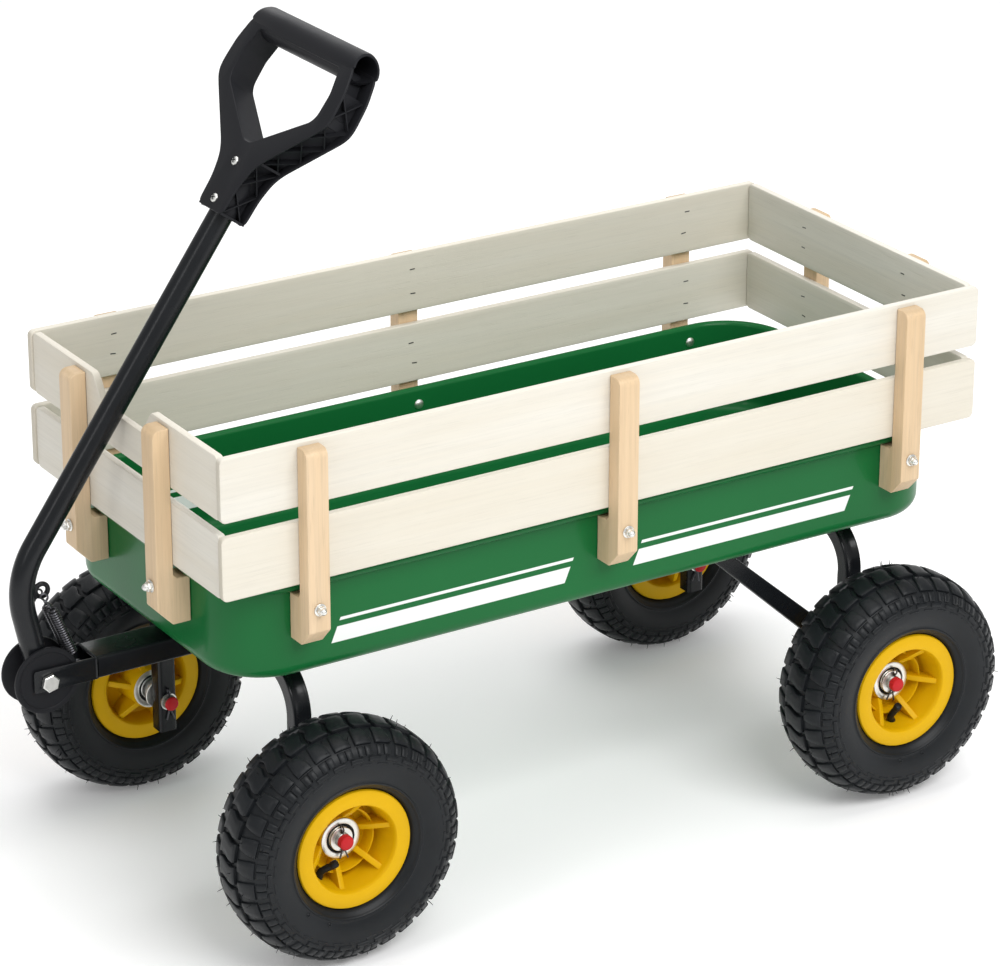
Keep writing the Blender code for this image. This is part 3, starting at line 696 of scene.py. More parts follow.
def tub_profile():
    """(outward from the wall, height): under the floor, up the wall, round the rolled rim and
    down the inside."""
    bottom = TUB_LOW.z
    points = [(-0.060, bottom + 0.0012), (-0.034, bottom)]
    for step in range(11):
        angle = math.pi / 2 * step / 10
        points.append((-TUB_FILLET * (1 - math.sin(angle)),
                       bottom + TUB_FILLET * (1 - math.cos(angle))))
    points.append((0.0, bottom + 0.045))
    points.append((0.0, TUB_HIGH.z - 0.016))
    bead = (RIM_REACH + SHEET) / 2
    start = -math.acos(-(bead - SHEET) / bead)
    for step in range(25):
        angle = start + (math.pi - start) * step / 24
        points.append((bead - SHEET + bead * math.cos(angle),
                       TUB_HIGH.z - bead + bead * math.sin(angle)))
    points.append((-SHEET, TUB_HIGH.z - 0.018))
    inner = TUB_FILLET - SHEET
    for step in range(11):
        angle = math.pi / 2 * (1 - step / 10)
        points.append((-SHEET - inner * (1 - math.sin(angle)),
                       bottom + SHEET + inner * (1 - math.cos(angle))))
    points += [(-0.034, bottom + SHEET), (-0.060, bottom + 2 * SHEET)]
    return points


def make_tub():
    bm = bmesh.new()
    rings = []
    for offset, height in tub_profile():
        outline = rounded_rectangle(WALL_X + offset, WALL_Y + offset,
                                    max(TUB_CORNER + offset, 0.006), 16)
        rings.append([Vector((x, y, height)) for x, y in outline])
    loft(bm, rings, capped=True)
    finish_piece("tub_pressing", bm, CHASSIS, ["enamel"], ["tub"],
                 Matrix.Translation((TUB_X, 0, 0)), 50.0)


# ---------------------------------------------------------------- rails

SIDE_CROSSINGS = [middle_of(f"left_{spot}_stake").x - TUB_X for spot in ("front", "middle", "rear")]
END_CROSSINGS = [middle_of(f"front_end_{side}_stake").y for side in ("left", "right")]


def board_outline(half_length, half_height, notched):
    outline = rounded_rectangle(half_length, half_height, 0.006, 6)
    if not notched:
        return outline
    notch = []
    for step in range(25):
        share = step / 24
        across = NOTCH_SHOULDER + (NOTCH_FLOOR - NOTCH_SHOULDER) * share
        notch.append((across, half_height - NOTCH_DEPTH * (1 - math.cos(math.pi * share)) / 2))
    mirrored = [(-across, height) for across, height in reversed(notch)]
    return outline[:7] + notch + mirrored + outline[7:]


def add_nails(bm, crossings, height, inner_z, dice):
    """Slim heads of brads driven from inside, two where the board crosses each post."""
    for crossing in crossings:
        for share in (-0.17, 0.20):
            spot = (crossing + dice.uniform(-0.003, 0.003), height * share + dice.uniform(-.002, .002),
                    inner_z)
            place = Matrix.Translation(spot) @ Matrix.Rotation(dice.uniform(-0.12, 0.12), 4, "Z")
            add_box(bm, place, (0.0062, 0.0012, 0.0003), 1)


def make_board(node, name, edge, dice):
    low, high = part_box(node)
    size = high - low
    middle = (low + high) / 2
    side = size.x > size.y
    outward = Y_AXIS * math.copysign(1, middle.y) if side else \
        X_AXIS * math.copysign(1, middle.x - TUB_X)
    length, thickness = (size.x, size.y) if side else (size.y, size.x)
    along = Z_AXIS.cross(outward)
    place = frame_at(middle, along, Z_AXIS)
    bm = bmesh.new()
    outline = board_outline(length / 2, size.z / 2, node == "front_upper_slat")
    add_plate(bm, [outline], thickness, Matrix.Identity(4), edge)
    sign = along.x if side else along.y
    crossings = [spot * sign for spot in (SIDE_CROSSINGS if side else END_CROSSINGS)]
    add_nails(bm, crossings, size.z, -thickness / 2, dice)
    finish_piece(name, bm, CHASSIS, ["board", "steel"], [node], place, 30.0)


def make_boards(sizes):
    dice = random.Random(11)
    for end in ("left", "right", "front", "rear"):
        for level in ("upper", "lower"):
            make_board(f"{end}_{level}_slat", f"{end}_{level}_board", sizes.board_edge, dice)


# ---------------------------------------------------------------- posts and their bolts

POST_DEPTH = 0.018
POST_FOOT_TOP = 0.0485          # above the post's lower end
POST_NAMES = [f"{side}_{spot}" for side in ("left", "right") for spot in ("front", "middle", "rear")]
POST_NAMES += [f"{end}_end_{side}" for end in ("front", "rear") for side in ("left", "right")]


def outward_of(name):
    if "_end_" in name:
        return -X_AXIS if name.startswith("front") else X_AXIS
    return -Y_AXIS if name.startswith("left") else Y_AXIS


def make_post(name, edge):
    """Seen from its side, with X up the post and Y outwards from the tub's wall."""
    low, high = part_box(name + "_stake")
    outward = outward_of(name)
    size = high - low
    width, depth = (size.x, size.y) if abs(outward.y) > 0.5 else (size.y, size.x)
    height = size.z
    face = depth - POST_DEPTH
    foot = (low + high) / 2 - outward * depth / 2
    foot.z = low.z
    outline = [(0, 0), (0, depth - 0.0165), (0.0175, depth), (height - 0.0085, depth)]
    for step in range(7):
        angle = math.pi / 2 * step / 6
        outline.append((height - 0.0085 * (1 - math.sin(angle)),
                        depth - 0.0085 * (1 - math.cos(angle))))
    outline += [(height, face), (POST_FOOT_TOP + 0.0045, face), (POST_FOOT_TOP, face - 0.004),
                (POST_FOOT_TOP, 0)]
    outline = rounded_outline(outline[::-1], 0.0012, 3)
    bm = bmesh.new()
    add_plate(bm, [outline], width, Matrix.Identity(4), edge)
    finish_piece(name + "_post", bm, CHASSIS, ["post"], [name + "_stake"],
                 frame_at(foot, Z_AXIS, outward), 30.0)


def make_posts(sizes):
    for name in POST_NAMES:
        make_post(name, sizes.post_edge)


def dome(radius, base, height, steps=7):
    """The profile of a dome from its rim to its top."""
    return [(radius * math.cos(math.pi / 2 * i / steps), base + height * math.sin(math.pi / 2 * i / steps))
            for i in range(steps + 1)]


def make_post_bolt(name):
    """A round head inside the tub, and outside a washer with a domed nut."""
    low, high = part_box(name + "_stake_bolt")
    outward = outward_of(name)
    middle = (low + high) / 2
    length = abs((high - low).dot(outward))
    place = facing(middle, outward)
    head = -length / 2 + 0.0032
    washer = length / 2 - 0.012
    bm = bmesh.new()
    turn(bm, [(0, washer), (0.0060, washer), (0.0064, washer + 0.0003), (0.0064, washer + 0.0009),
              (0.0060, washer + 0.0012), (0, washer + 0.0012)], 32)
    hexagon(bm, 0.0052, washer + 0.0010, washer + 0.0052, Matrix.Identity(4))
    turn(bm, [(0, washer + 0.0040), (0.0039, washer + 0.0040)] + dome(0.0039, washer + 0.0054, 0.0046),
         24)
    turn(bm, [(0, head - 0.001), (0.0030, head - 0.001), (0.0030, washer + 0.001), (0, washer + 0.001)],
         16)
    turn(bm, [(0, head), (0.0056, head)] + [(r, 2 * head - h) for r, h in dome(0.0056, head, 0.0030)],
         28)
    finish_piece(name + "_post_bolt", bm, CHASSIS, ["zinc"], [name + "_stake_bolt"], place)


# ---------------------------------------------------------------- arches, plates and braces

def arch_path(x):
    top = ARCH_HIGH.z - ARCH_TUBE / 2
    middle = Vector((x, 0, top))
    left = bent_path(Vector((x, -LEG_Y, ARCH_LOW.z)), Vector((x, -LEG_Y, top)), middle,
                     ARCH_BEND, 18)
    right = [Vector((x, -point.y, point.z)) for point in reversed(left[:-1])]
    return left + right


def pressed_sections(path, half):
    """The square tube's outline at each point: its outer face sinks where the tube is bent."""
    outline = rounded_rectangle(half, half, 0.0035, 5)
    fine = []
    for first, second in zip(outline, outline[1:] + outline[:1]):
        long = math.dist(first, second) > half
        for step in range(6 if long else 1):
            share = step / (6 if long else 1)
            fine.append((first[0] + (second[0] - first[0]) * share,
                         first[1] + (second[1] - first[1]) * share))
    sections = []
    for i in range(len(path)):
        before = (path[i] - path[max(i - 1, 0)]).normalized() if i else None
        after = (path[i + 1] - path[i]).normalized() if i < len(path) - 1 else None
        bend = before.angle(after) if before and after else 0.0
        dip = min(1.0, bend / 0.05) * 0.0036
        sections.append([(a, b + (dip * (1 - a * a / half / half) if b < -half * 0.7 else 0.0)
                          - (dip * (1 - a * a / half / half) if b > half * 0.7 else 0.0))
                         for a, b in fine])
    return sections


def add_arch(bm, x):
    path = arch_path(x)
    half = ARCH_TUBE / 2
    outer = pressed_sections(path, half)
    share = (half - ARCH_WALL) / half
    inner = [[(a * share, b * share) for a, b in section] for section in outer]
    tube(bm, path, outer, inner, X_AXIS)


def add_hex_bolt(bm, spot, outward, radius, height, material=1):
    """A hexagon head on a washer."""
    place = facing(spot, outward)
    turn(bm, [(0, 0), (radius * 1.45, 0), (radius * 1.5, 0.0004), (radius * 1.5, 0.0011),
              (0, 0.0013)], 28, place, material)
    hexagon(bm, radius, 0.001, height, place, material)


def make_front_arch(sizes):
    bm = bmesh.new()
    add_arch(bm, FRONT_AXLE_X)
    low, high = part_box("front_axle_arch")
    plate_middle = Vector((FRONT_AXLE_X, 0, high.z - 0.002))
    plate = rounded_rectangle((high.x - low.x) / 2, 0.065, 0.010, 6)
    add_plate(bm, [plate], 0.004, frame_at(plate_middle, X_AXIS, Y_AXIS), 0.0008)
    for sign in (-1, 1):
        x = FRONT_AXLE_X + sign * ARCH_TUBE / 2
        ends = [Vector((x, -0.055, high.z - 0.0045)), Vector((x, 0.055, high.z - 0.0045))]
        add_weld(bm, ends, sizes.weld_radius, X_AXIS, 3 + sign)
    finish_piece("front_arch", bm, STEERING, ["black"], ["front_axle_arch"])


def make_rear_arch():
    bm = bmesh.new()
    add_arch(bm, REAR_AXLE_X)
    finish_piece("rear_arch", bm, CHASSIS, ["black"], ["rear_axle_arch"])


def make_flat_plate(node, name):
    """A pressed plate bolted up into the tub's floor by its corners."""
    low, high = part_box(node)
    size = high - low
    middle = (low + high) / 2
    bm = bmesh.new()
    outline = rounded_rectangle(size.x / 2, size.y / 2, 0.012, 6)
    add_plate(bm, [outline], size.z, frame_at(middle, X_AXIS, Y_AXIS), 0.0010)
    for x in (-1, 1):
        for y in (-1, 1):
            spot = Vector((middle.x + x * (size.x / 2 - 0.014), y * (size.y / 2 - 0.016), low.z + 0.0004))
            add_hex_bolt(bm, spot, -Z_AXIS, 0.0050, 0.0034)
    finish_piece(name, bm, CHASSIS, ["black", "zinc"], [node])


def make_kingpin():
    low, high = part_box("kingpin")
    middle = (low + high) / 2
    place = Matrix.Translation((middle.x, middle.y, 0))
    bm = bmesh.new()
    turn(bm, [(0, high.z - 0.0052)] + [(0.0105, high.z - 0.0052)] + dome(0.0105, high.z - 0.0042, 0.0042),
         32, place)
    turn(bm, [(0, low.z + 0.002), (0.0052, low.z + 0.002), (0.0058, low.z + 0.004),
              (0.0058, high.z - 0.005), (0, high.z - 0.005)], 24, place)
    turn(bm, [(0.0058, low.z + 0.0185), (0.0115, low.z + 0.0185), (0.0115, low.z + 0.0170),
              (0.0058, low.z + 0.0170)], 32, place, 0, True)
    hexagon(bm, 0.0100, low.z + 0.0060, low.z + 0.0170, place)
    finish_piece("kingpin_bolt", bm, CHASSIS, ["zinc"], ["kingpin"])


def make_brace(side):
    """A flat bar from its foot under the tub down to the rear arch's leg."""
    low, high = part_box(f"{side}_rear_brace")
    middle_y = (low.y + high.y) / 2
    angle = math.radians(41.0)
    rise = 0.022 / math.cos(angle)
    heel = low.x + 0.028
    reach = high.x - heel
    drop = reach * math.tan(angle)
    outline = [(low.x, high.z), (heel, high.z), (high.x, high.z - drop),
               (high.x, high.z - drop - rise), (low.x + 0.010, high.z - 0.006),
               (low.x, high.z - 0.003)]
    outline = rounded_outline(outline[::-1], 0.004, 4)
    bm = bmesh.new()
    add_plate(bm, [outline], high.y - low.y, frame_at((0, middle_y, 0), X_AXIS, Z_AXIS), 0.0022)
    bolt = Vector((heel - 0.012, middle_y, high.z - 0.0066))
    add_hex_bolt(bm, bolt, -Z_AXIS, 0.0048, 0.0040)
    for sign in (-1, 1):
        y = middle_y + sign * (high.y - low.y) / 2
        ends = [Vector((high.x - 0.001, y, high.z - drop - 0.002)),
                Vector((high.x - 0.001, y, high.z - drop - rise + 0.002))]
        add_weld(bm, ends, 0.0016, Y_AXIS, 17)
    finish_piece(f"{side}_brace_bar", bm, CHASSIS, ["black", "zinc"],
                 [f"{side}_rear_brace"])


# ---------------------------------------------------------------- tyres

TYRE_FLANK = [  # (radius, distance from the tyre's middle), bead to crown
    (0.0590, 0.0275), (0.0638, 0.0300), (0.0665, 0.0345), (0.0700, 0.0378), (0.0712, 0.0394),
    (0.0730, 0.0404), (0.0746, 0.0394), (0.0800, 0.0414), (0.0870, 0.0432), (0.0940, 0.0438),
    (0.1000, 0.0432), (0.1058, 0.0414), (0.1110, 0.0380), (0.1157, 0.0325), (0.1192, 0.0248),
    (0.1212, 0.0160), (0.1221, 0.0070), (0.1223, 0.0)]
TYRE_CAVITY = [(0.1150, 0.0), (0.1120, 0.0170), (0.1030, 0.0330), (0.0900, 0.0360),
               (0.0720, 0.0300), (0.0530, 0.0180), (0.0530, 0.0275)]


class Carcass:
    """The tyre's outer surface by the distance over it from the crown, positive outwards."""

    def __init__(self):
        self.line = smooth_points(TYRE_FLANK[::-1], 3)
        self.reach = [0.0]
        for first, second in zip(self.line, self.line[1:]):
            self.reach.append(self.reach[-1] + math.dist(first, second))

    def at(self, along, angle, lift):
        """The point at `along`, `angle` round the axle, raised by `lift`."""
        distance = min(abs(along), self.reach[-1] - 1e-6)
        i = next(k for k in range(1, len(self.reach)) if self.reach[k] > distance)
        share = (distance - self.reach[i - 1]) / (self.reach[i] - self.reach[i - 1])
        first, second = Vector(self.line[i - 1]), Vector(self.line[i])
        spot = first.lerp(second, share)
        ahead = (second - first).normalized()
        radius = spot.x + ahead.y * lift
        across = (spot.y - ahead.x * lift) * (1 if along >= 0 else -1)
        return Vector((radius * math.cos(angle), radius * math.sin(angle), across))


def lug_rows(carcass, stations, lift, inset, splits):
    """Rows of points over a lug: each station is (distance, first angle, last angle)."""
    rows = []
    for i, (along, start, end) in enumerate(stations):
        if i == 0:
            along += inset
        if i == len(stations) - 1:
            along -= inset
        ease = inset / 0.115
        rows.append([carcass.at(along, start + ease + (end - start - 2 * ease) * k / splits, lift)
                     for k in range(splits + 1)])
    return rows


def border(rows):
    """The rim of a grid of points, once round."""
    loop = list(rows[0])
    loop += [row[-1] for row in rows[1:-1]]
    loop += list(reversed(rows[-1]))
    loop += [row[0] for row in reversed(rows[1:-1])]
    return loop


def add_lug(bm, carcass, stations, height, splits=3, ease=0.0006):
    """A raised block that follows the carcass, with drafted sides and an eased top edge."""
    top = [[bm.verts.new(point) for point in row]
           for row in lug_rows(carcass, stations, height, ease, splits)]
    for first, second in zip(top, top[1:]):
        bridge(bm, first, second, False)
    skirts = [lug_rows(carcass, stations, -0.0006, -0.0007, splits),
              lug_rows(carcass, stations, height - ease * 0.7, 0.0, splits)]
    rings = [[bm.verts.new(point) for point in border(rows)] for rows in skirts]
    rings.append(border(top))
    for first, second in zip(rings, rings[1:]):
        bridge(bm, first, second)


def add_hair(bm, carcass, along, angle, length, dice):
    """A whisker of rubber left where the mould was vented."""
    root = carcass.at(along, angle, -0.0005)
    away = (carcass.at(along, angle, 0.01) - root).normalized()
    lean = Vector((dice.uniform(-1, 1), dice.uniform(-1, 1), dice.uniform(-1, 1))) * 0.5
    path = [root, root + away * length * 0.5, root + (away + lean * 0.5).normalized() * length]
    sweep(bm, path, circle(0.00050, 5), away.orthogonal().normalized(), 0, [1.0, 0.9, 0.5])


def mirrored_lug(bm, carcass, rows, height, splits, ease):
    """The same lug on both shoulders."""
    for sign in (1, -1):
        stations = [(along * sign, start, end) for along, start, end in rows]
        if sign < 0:
            stations.reverse()
        add_lug(bm, carcass, stations, height, splits, ease)


def tyre_mesh(sizes):
    carcass = Carcass()
    bm = bmesh.new()
    crown_to_bead = carcass.line
    outside = [(r, z) for r, z in reversed(crown_to_bead)] + [(r, -z) for r, z in crown_to_bead[1:]]
    inside = [(r, -z) for r, z in reversed(TYRE_CAVITY)] + TYRE_CAVITY[1:]
    turn(bm, outside + inside, 128, looped=True)
    pitch = 2 * math.pi / sizes.tread_pitches
    for k in range(sizes.tread_pitches):
        middle = k * pitch
        stations = []
        for along in (-0.0135, -0.0090, -0.0045, 0.0, 0.0045, 0.0090, 0.0135):
            shift = 0.10 * pitch * math.sin(math.pi * along / 0.0135 * 0.9)
            stations.append((along, middle + shift - 0.385 * pitch, middle + shift + 0.385 * pitch))
        add_lug(bm, carcass, stations, sizes.lug_height, 3)
        between = middle + pitch / 2
        shoulder = [(0.0168, 0.25), (0.0218, 0.29), (0.0268, 0.34), (0.0318, 0.38), (0.0368, 0.39)]
        rows = [(along, between - half * pitch, between + half * pitch) for along, half in shoulder]
        mirrored_lug(bm, carcass, rows, 0.0027, 3, 0.0011)
        for sign in (-1, 1):
            spot = between + sign * 0.19 * pitch
            rows = [(along, spot - 0.16 * pitch, spot + 0.16 * pitch)
                    for along in (0.0388, 0.0434, 0.0482)]
            mirrored_lug(bm, carcass, rows, 0.0017, 2, 0.0007)
        rows = [(along, middle - 0.33 * pitch, middle + 0.33 * pitch) for along in (0.0500, 0.0540)]
        mirrored_lug(bm, carcass, rows, 0.0014, 2, 0.0005)
        rows = [(along, between - 0.30 * pitch, between + 0.30 * pitch) for along in (0.0566, 0.0580)]
        mirrored_lug(bm, carcass, rows, 0.0007, 2, 0.0003)
    dice = random.Random(29)
    for _ in range(sizes.hair_count):
        along = dice.choice((-1, 1)) * dice.uniform(0.0, 0.048)
        add_hair(bm, carcass, along, dice.uniform(0, 2 * math.pi), dice.uniform(0.0055, 0.0095), dice)
    for along, turn_share in ((0.0755, 0.74), (0.0755, 0.80), (-0.0755, 0.24), (-0.0755, 0.30)):
        spot = carcass.at(along, turn_share * 2 * math.pi, -0.0004)
        away = carcass.at(along, turn_share * 2 * math.pi, 0.01) - spot
        turn(bm, [(0.0010, 0), (0.0010, 0.0011), (0.0014, 0.0014), (0.0019, 0.0012), (0.0026, 0)],
             20, facing(spot, away.normalized()), looped=True)
    return mesh_from("lugged_tyre", bm, ["rubber"], 40.0)


WHEEL_PHASES = {"front_left": -44.0, "rear_left": -4.0, "front_right": 12.0, "rear_right": 20.0}


def place_on_wheels(mesh, piece, node=None):
    """A copy on each wheel, with Z out along the axle, turned to where that wheel has stopped."""
    for wheel in WHEELS:
        outward = -Y_AXIS if wheel.endswith("left") else Y_AXIS
        turned = mesh.copy()
        turned.transform(Matrix.Rotation(math.radians(WHEEL_PHASES[wheel]), 4, "Z"))
        place_piece(f"{wheel}_{piece}", turned, wheel + "_wheel",
                    [f"{wheel}_{node}"] if node else (), facing(middle_of(wheel + "_tyre"), outward))


def make_tyres(sizes):
    place_on_wheels(tyre_mesh(sizes), "lugged_tyre", "tyre")


# ---------------------------------------------------------------- hubs, bearings and valves

HUB_LOOP = [  # (radius, distance outwards from the tyre's middle), round the whole section
    (0.0175, 0.0040), (0.0213, 0.0040), (0.0223, 0.0032), (0.0234, -0.0040), (0.0250, -0.0060),
    (0.0318, -0.0060), (0.0326, -0.0050), (0.0332, 0.0088), (0.0338, 0.0100), (0.0350, 0.0100),
    (0.0356, 0.0088), (0.0362, -0.0014), (0.0372, -0.0022), (0.0405, -0.0022),
    (0.0421, -0.0008), (0.0427, 0.0020), (0.0455, 0.0290), (0.0462, 0.0322), (0.0475, 0.0340),
    (0.0492, 0.0346), (0.0600, 0.0342), (0.0626, 0.0334), (0.0636, 0.0314), (0.0630, 0.0294),
    (0.0520, 0.0290), (0.0520, -0.0290), (0.0630, -0.0294), (0.0636, -0.0314), (0.0626, -0.0334),
    (0.0600, -0.0342), (0.0492, -0.0346), (0.0475, -0.0340), (0.0462, -0.0322), (0.0455, -0.0290),
    (0.0427, -0.0150), (0.0415, -0.0125), (0.0400, -0.0120), (0.0262, -0.0120), (0.0244, -0.0135),
    (0.0228, -0.0455), (0.0218, -0.0470), (0.0175, -0.0470)]


def hub_mesh(sizes):
    bm = bmesh.new()
    turn(bm, HUB_LOOP, 96, looped=True)
    ribs = ([(0.0212, 0.0034), (0.0300, 0.0130), (0.0456, 0.0272), (0.0440, -0.0040), (0.0228, -0.0065)],
            [(0.0222, -0.0430), (0.0456, -0.0305), (0.0440, -0.0110), (0.0235, -0.0110)])
    for k in range(6):
        angle = 2 * math.pi * k / 6
        radial = Vector((math.cos(angle), math.sin(angle), 0))
        for rib in ribs:
            outline = rounded_outline(rib, 0.0022, 3)
            add_plate(bm, [outline], sizes.rib_thickness, frame_at((0, 0, 0), radial, Z_AXIS), 0.0008)
    return mesh_from("dished_hub", bm, ["hub"], 34.0)


def make_hubs(sizes):
    place_on_wheels(hub_mesh(sizes), "dished_hub", "hub")


def bearing_mesh():
    """A ball bearing at each end of the boss: shield, seal and inner ring, and the spacer sleeve."""
    bm = bmesh.new()
    for outer, sign in ((0.0045, 1), (-0.0470, -1)):
        def level(height, face=outer, way=sign):
            return face + height * way
        turn(bm, [(0.0156, level(-0.0005)), (0.0158, level(0.0006)), (0.0166, level(0.0010)),
                  (0.0206, level(0.0010)), (0.0214, level(0.0006)), (0.0216, level(-0.0002)),
                  (0.0172, level(-0.0005)), (0.0172, level(-0.0110)), (0.0156, level(-0.0110))],
             48, looped=True)
        turn(bm, [(0.0120, level(-0.0020)), (0.0160, level(-0.0014)), (0.0160, level(-0.0060)),
                  (0.0120, level(-0.0060))], 40, material=1, looped=True)
        turn(bm, [(0.0083, level(-0.0002)), (0.0118, level(-0.0002)), (0.0124, level(-0.0008)),
                  (0.0124, level(-0.0110)), (0.0083, level(-0.0110))], 40, looped=True)
    turn(bm, [(0.0083, -0.0060), (0.0112, -0.0060), (0.0112, -0.0360), (0.0083, -0.0360)], 32,
         looped=True)
    return mesh_from("bearing_pair", bm, ["zinc", "disc"], 34.0)


def make_bearings():
    place_on_wheels(bearing_mesh(), "bearing_pair", "bearings")


def valve_mesh():
    """A bent rubber stem with its collar and cap, below the boss."""
    bm = bmesh.new()
    route = [(0.0024, 0.0452, 0.0105), (0.0008, 0.0425, 0.0118), (-0.0018, 0.0392, 0.0130),
             (-0.0026, 0.0355, 0.0148), (-0.0016, 0.0305, 0.0175), (0.0000, 0.0252, 0.0207)]
    path = [Vector((x, -r, z)) for x, r, z in smooth_points(route, 4)]
    count = len(path)
    widths = [1.25 - 0.25 * min(1.0, i / (count * 0.4)) for i in range(count)]
    sweep(bm, path, circle(0.0037, 20), X_AXIS, 0, widths)
    ahead = (path[-1] - path[-2]).normalized()
    cap = frame_at(path[-1] - ahead * 0.002, X_AXIS, ahead.cross(X_AXIS))
    if (cap.to_3x3() @ Z_AXIS).dot(ahead) < 0:
        cap = frame_at(path[-1] - ahead * 0.002, X_AXIS, X_AXIS.cross(ahead))
    turn(bm, [(0, 0), (0.0039, 0), (0.0042, 0.0006), (0.0042, 0.0056), (0.0038, 0.0068),
              (0.0024, 0.0075), (0, 0.0077)], 18, cap)
    return mesh_from("tyre_valve", bm, ["rubber"], 30.0)


def make_valves():
    place_on_wheels(valve_mesh(), "tyre_valve")


# ---------------------------------------------------------------- axles, caps and split pins

def add_split_pin(bm, place, width, seed):
    """A split pin through the axle: an eye on top and two legs spread below."""
    dice = random.Random(seed)
    wire = circle(0.0009, 8)
    eye = [place @ Vector((0, width * 0.5 + 0.0042 + 0.0030 * math.sin(t), 0.0030 * math.cos(t)))
           for t in (math.radians(-70 + 320 * i / 16) for i in range(17))]
    sweep(bm, eye, wire, place.to_3x3() @ X_AXIS)
    for sign in (-1, 1):
        legs = [place @ Vector((0, width * 0.5 + 0.002, 0.0008 * sign)),
                place @ Vector((0, -width * 0.5, 0.0008 * sign)),
                place @ Vector((0.0008 * sign, -width * 0.5 - 0.0020, 0.0009 * sign)),
                place @ Vector((0.0040 * sign, -width * 0.5 - 0.0105 - dice.uniform(0, 0.0015),
                                0.0010 * sign))]
        sweep(bm, legs, wire, place.to_3x3() @ X_AXIS)


def cap_profile(base, end):
    """A soft cap on the axle's end, from its open rim to its crown."""
    return [(0.0064, base), (0.0073, base), (0.0077, base + 0.0005), (0.0077, end - 0.0022),
            (0.0072, end - 0.0008), (0.0060, end), (0, end)]


def make_axle(wheel):
    body = CHASSIS if wheel.startswith("rear") else STEERING
    outward = -Y_AXIS if wheel.endswith("left") else Y_AXIS
    centre = middle_of(wheel + "_tyre")
    place = facing(centre, outward)
    leg = LEG_Y - abs(centre.y)
    leg_out = leg + ARCH_TUBE / 2
    leg_in = leg - ARCH_TUBE / 2
    inner_end = leg_in - 0.0085
    bm = bmesh.new()
    turn(bm, [(0, inner_end), (0.0068, inner_end), (0.0078, inner_end + 0.001), (0.0078, leg_in),
              (0.0079, leg_out), (0.0079, 0.0105), (0.0066, 0.0115), (0.0066, 0.0160), (0, 0.0165)], 32)
    turn(bm, [(0.0079, leg_out + 0.0002), (0.0150, leg_out + 0.0002), (0.0155, leg_out + 0.0008),
              (0.0155, leg_out + 0.0020), (0.0115, leg_out + 0.0026), (0.0115, -0.0482),
              (0.0079, -0.0482)], 40, material=1, looped=True)
    turn(bm, [(0.0079, 0.0052), (0.0122, 0.0052), (0.0126, 0.0056), (0.0126, 0.0070),
              (0.0122, 0.0074), (0.0079, 0.0074)], 40, material=1, looped=True)
    turn(bm, [(0.0079, leg_in - 0.0002), (0.0088, leg_in - 0.0002), (0.0092, leg_in - 0.0006),
              (0.0092, leg_in - 0.0017), (0.0079, leg_in - 0.0017)], 40, material=1, looped=True)
    finish_piece(wheel + "_axle_rod", bm, body, ["bare", "zinc"],
                 [wheel + "_stub_axle"], place, 34.0)
    bm = bmesh.new()
    turn(bm, cap_profile(0.0118, 0.0192), 32)
    turn(bm, [(r, leg_in - 0.0040 - (h - 0.0098)) for r, h in cap_profile(0.0098, 0.0160)], 32)
    finish_piece(wheel + "_axle_caps", bm, body, ["cap"], (), place, 34.0)
    bm = bmesh.new()
    tilt = Matrix.Rotation(math.radians(3 if wheel.startswith("front") else -9), 4, "Z")
    add_split_pin(bm, Matrix.Translation((0, 0, 0.0096)) @ tilt, 0.0168, 5)
    add_split_pin(bm, Matrix.Translation((0, 0, leg_in - 0.0030)) @ tilt.inverted(), 0.0168, 6)
    finish_piece(wheel + "_split_pins", bm, body, ["steel"], (), place)


# ---------------------------------------------------------------- tongue, hinge and springs

def make_tongue(sizes):
    """A square-cornered tube; past its mouth two side plates run on as the hinge's ears."""
    low, high = TONGUE_LOW, TONGUE_HIGH
    height = high.z - low.z
    width = high.y - low.y
    wall = 0.0025
    middle_z = (low.z + high.z) / 2
    bm = bmesh.new()
    mouth = Vector((TONGUE_MOUTH_X, 0, middle_z))
    rear = Vector((high.x, 0, middle_z))
    path = [mouth, mouth.lerp(rear, 0.02), mouth.lerp(rear, 0.5), mouth.lerp(rear, 0.98), rear]
    outer = rounded_rectangle(width / 2, height / 2, 0.003, 5)
    inner = rounded_rectangle(width / 2 - wall, height / 2 - wall, 0.001, 5)
    tube(bm, path, outer, inner, Y_AXIS)
    reach = TONGUE_MOUTH_X - low.x + 0.004
    plate = rounded_outline([(-reach / 2, -height / 2), (reach / 2, -height / 2),
                             (reach / 2, height / 2), (-reach / 2, height / 2)], 0.0030, 4)
    hinge_hole = [(HINGE.x - (low.x + reach / 2) + a, HINGE.z - middle_z + b)
                  for a, b in circle(0.0053, 20)]
    for sign in (-1, 1):
        place = frame_at((low.x + reach / 2, sign * (width / 2 - wall / 2), middle_z), X_AXIS, Z_AXIS)
        add_plate(bm, [plate, hinge_hole], wall, place, 0.0006)
    half_y, half_z = width / 2 - 0.0006, height / 2 - 0.0006
    ring = [Vector((TONGUE_MOUTH_X + 0.001, y, middle_z + z)) for y, z in
            ((-half_y, -half_z), (half_y, -half_z), (half_y, half_z), (-half_y, half_z),
             (-half_y, -half_z))]
    add_weld(bm, ring, sizes.weld_radius * 0.7, X_AXIS, 41)
    seat = [Vector((high.x - 0.0015, y, middle_z + z)) for y, z in
            ((-half_y, half_z), (-half_y, -half_z), (half_y, -half_z), (half_y, half_z))]
    add_weld(bm, seat, sizes.weld_radius, X_AXIS, 43)
    finish_piece("tongue_tube", bm, STEERING, ["black"], ["tongue"], None, 34.0)


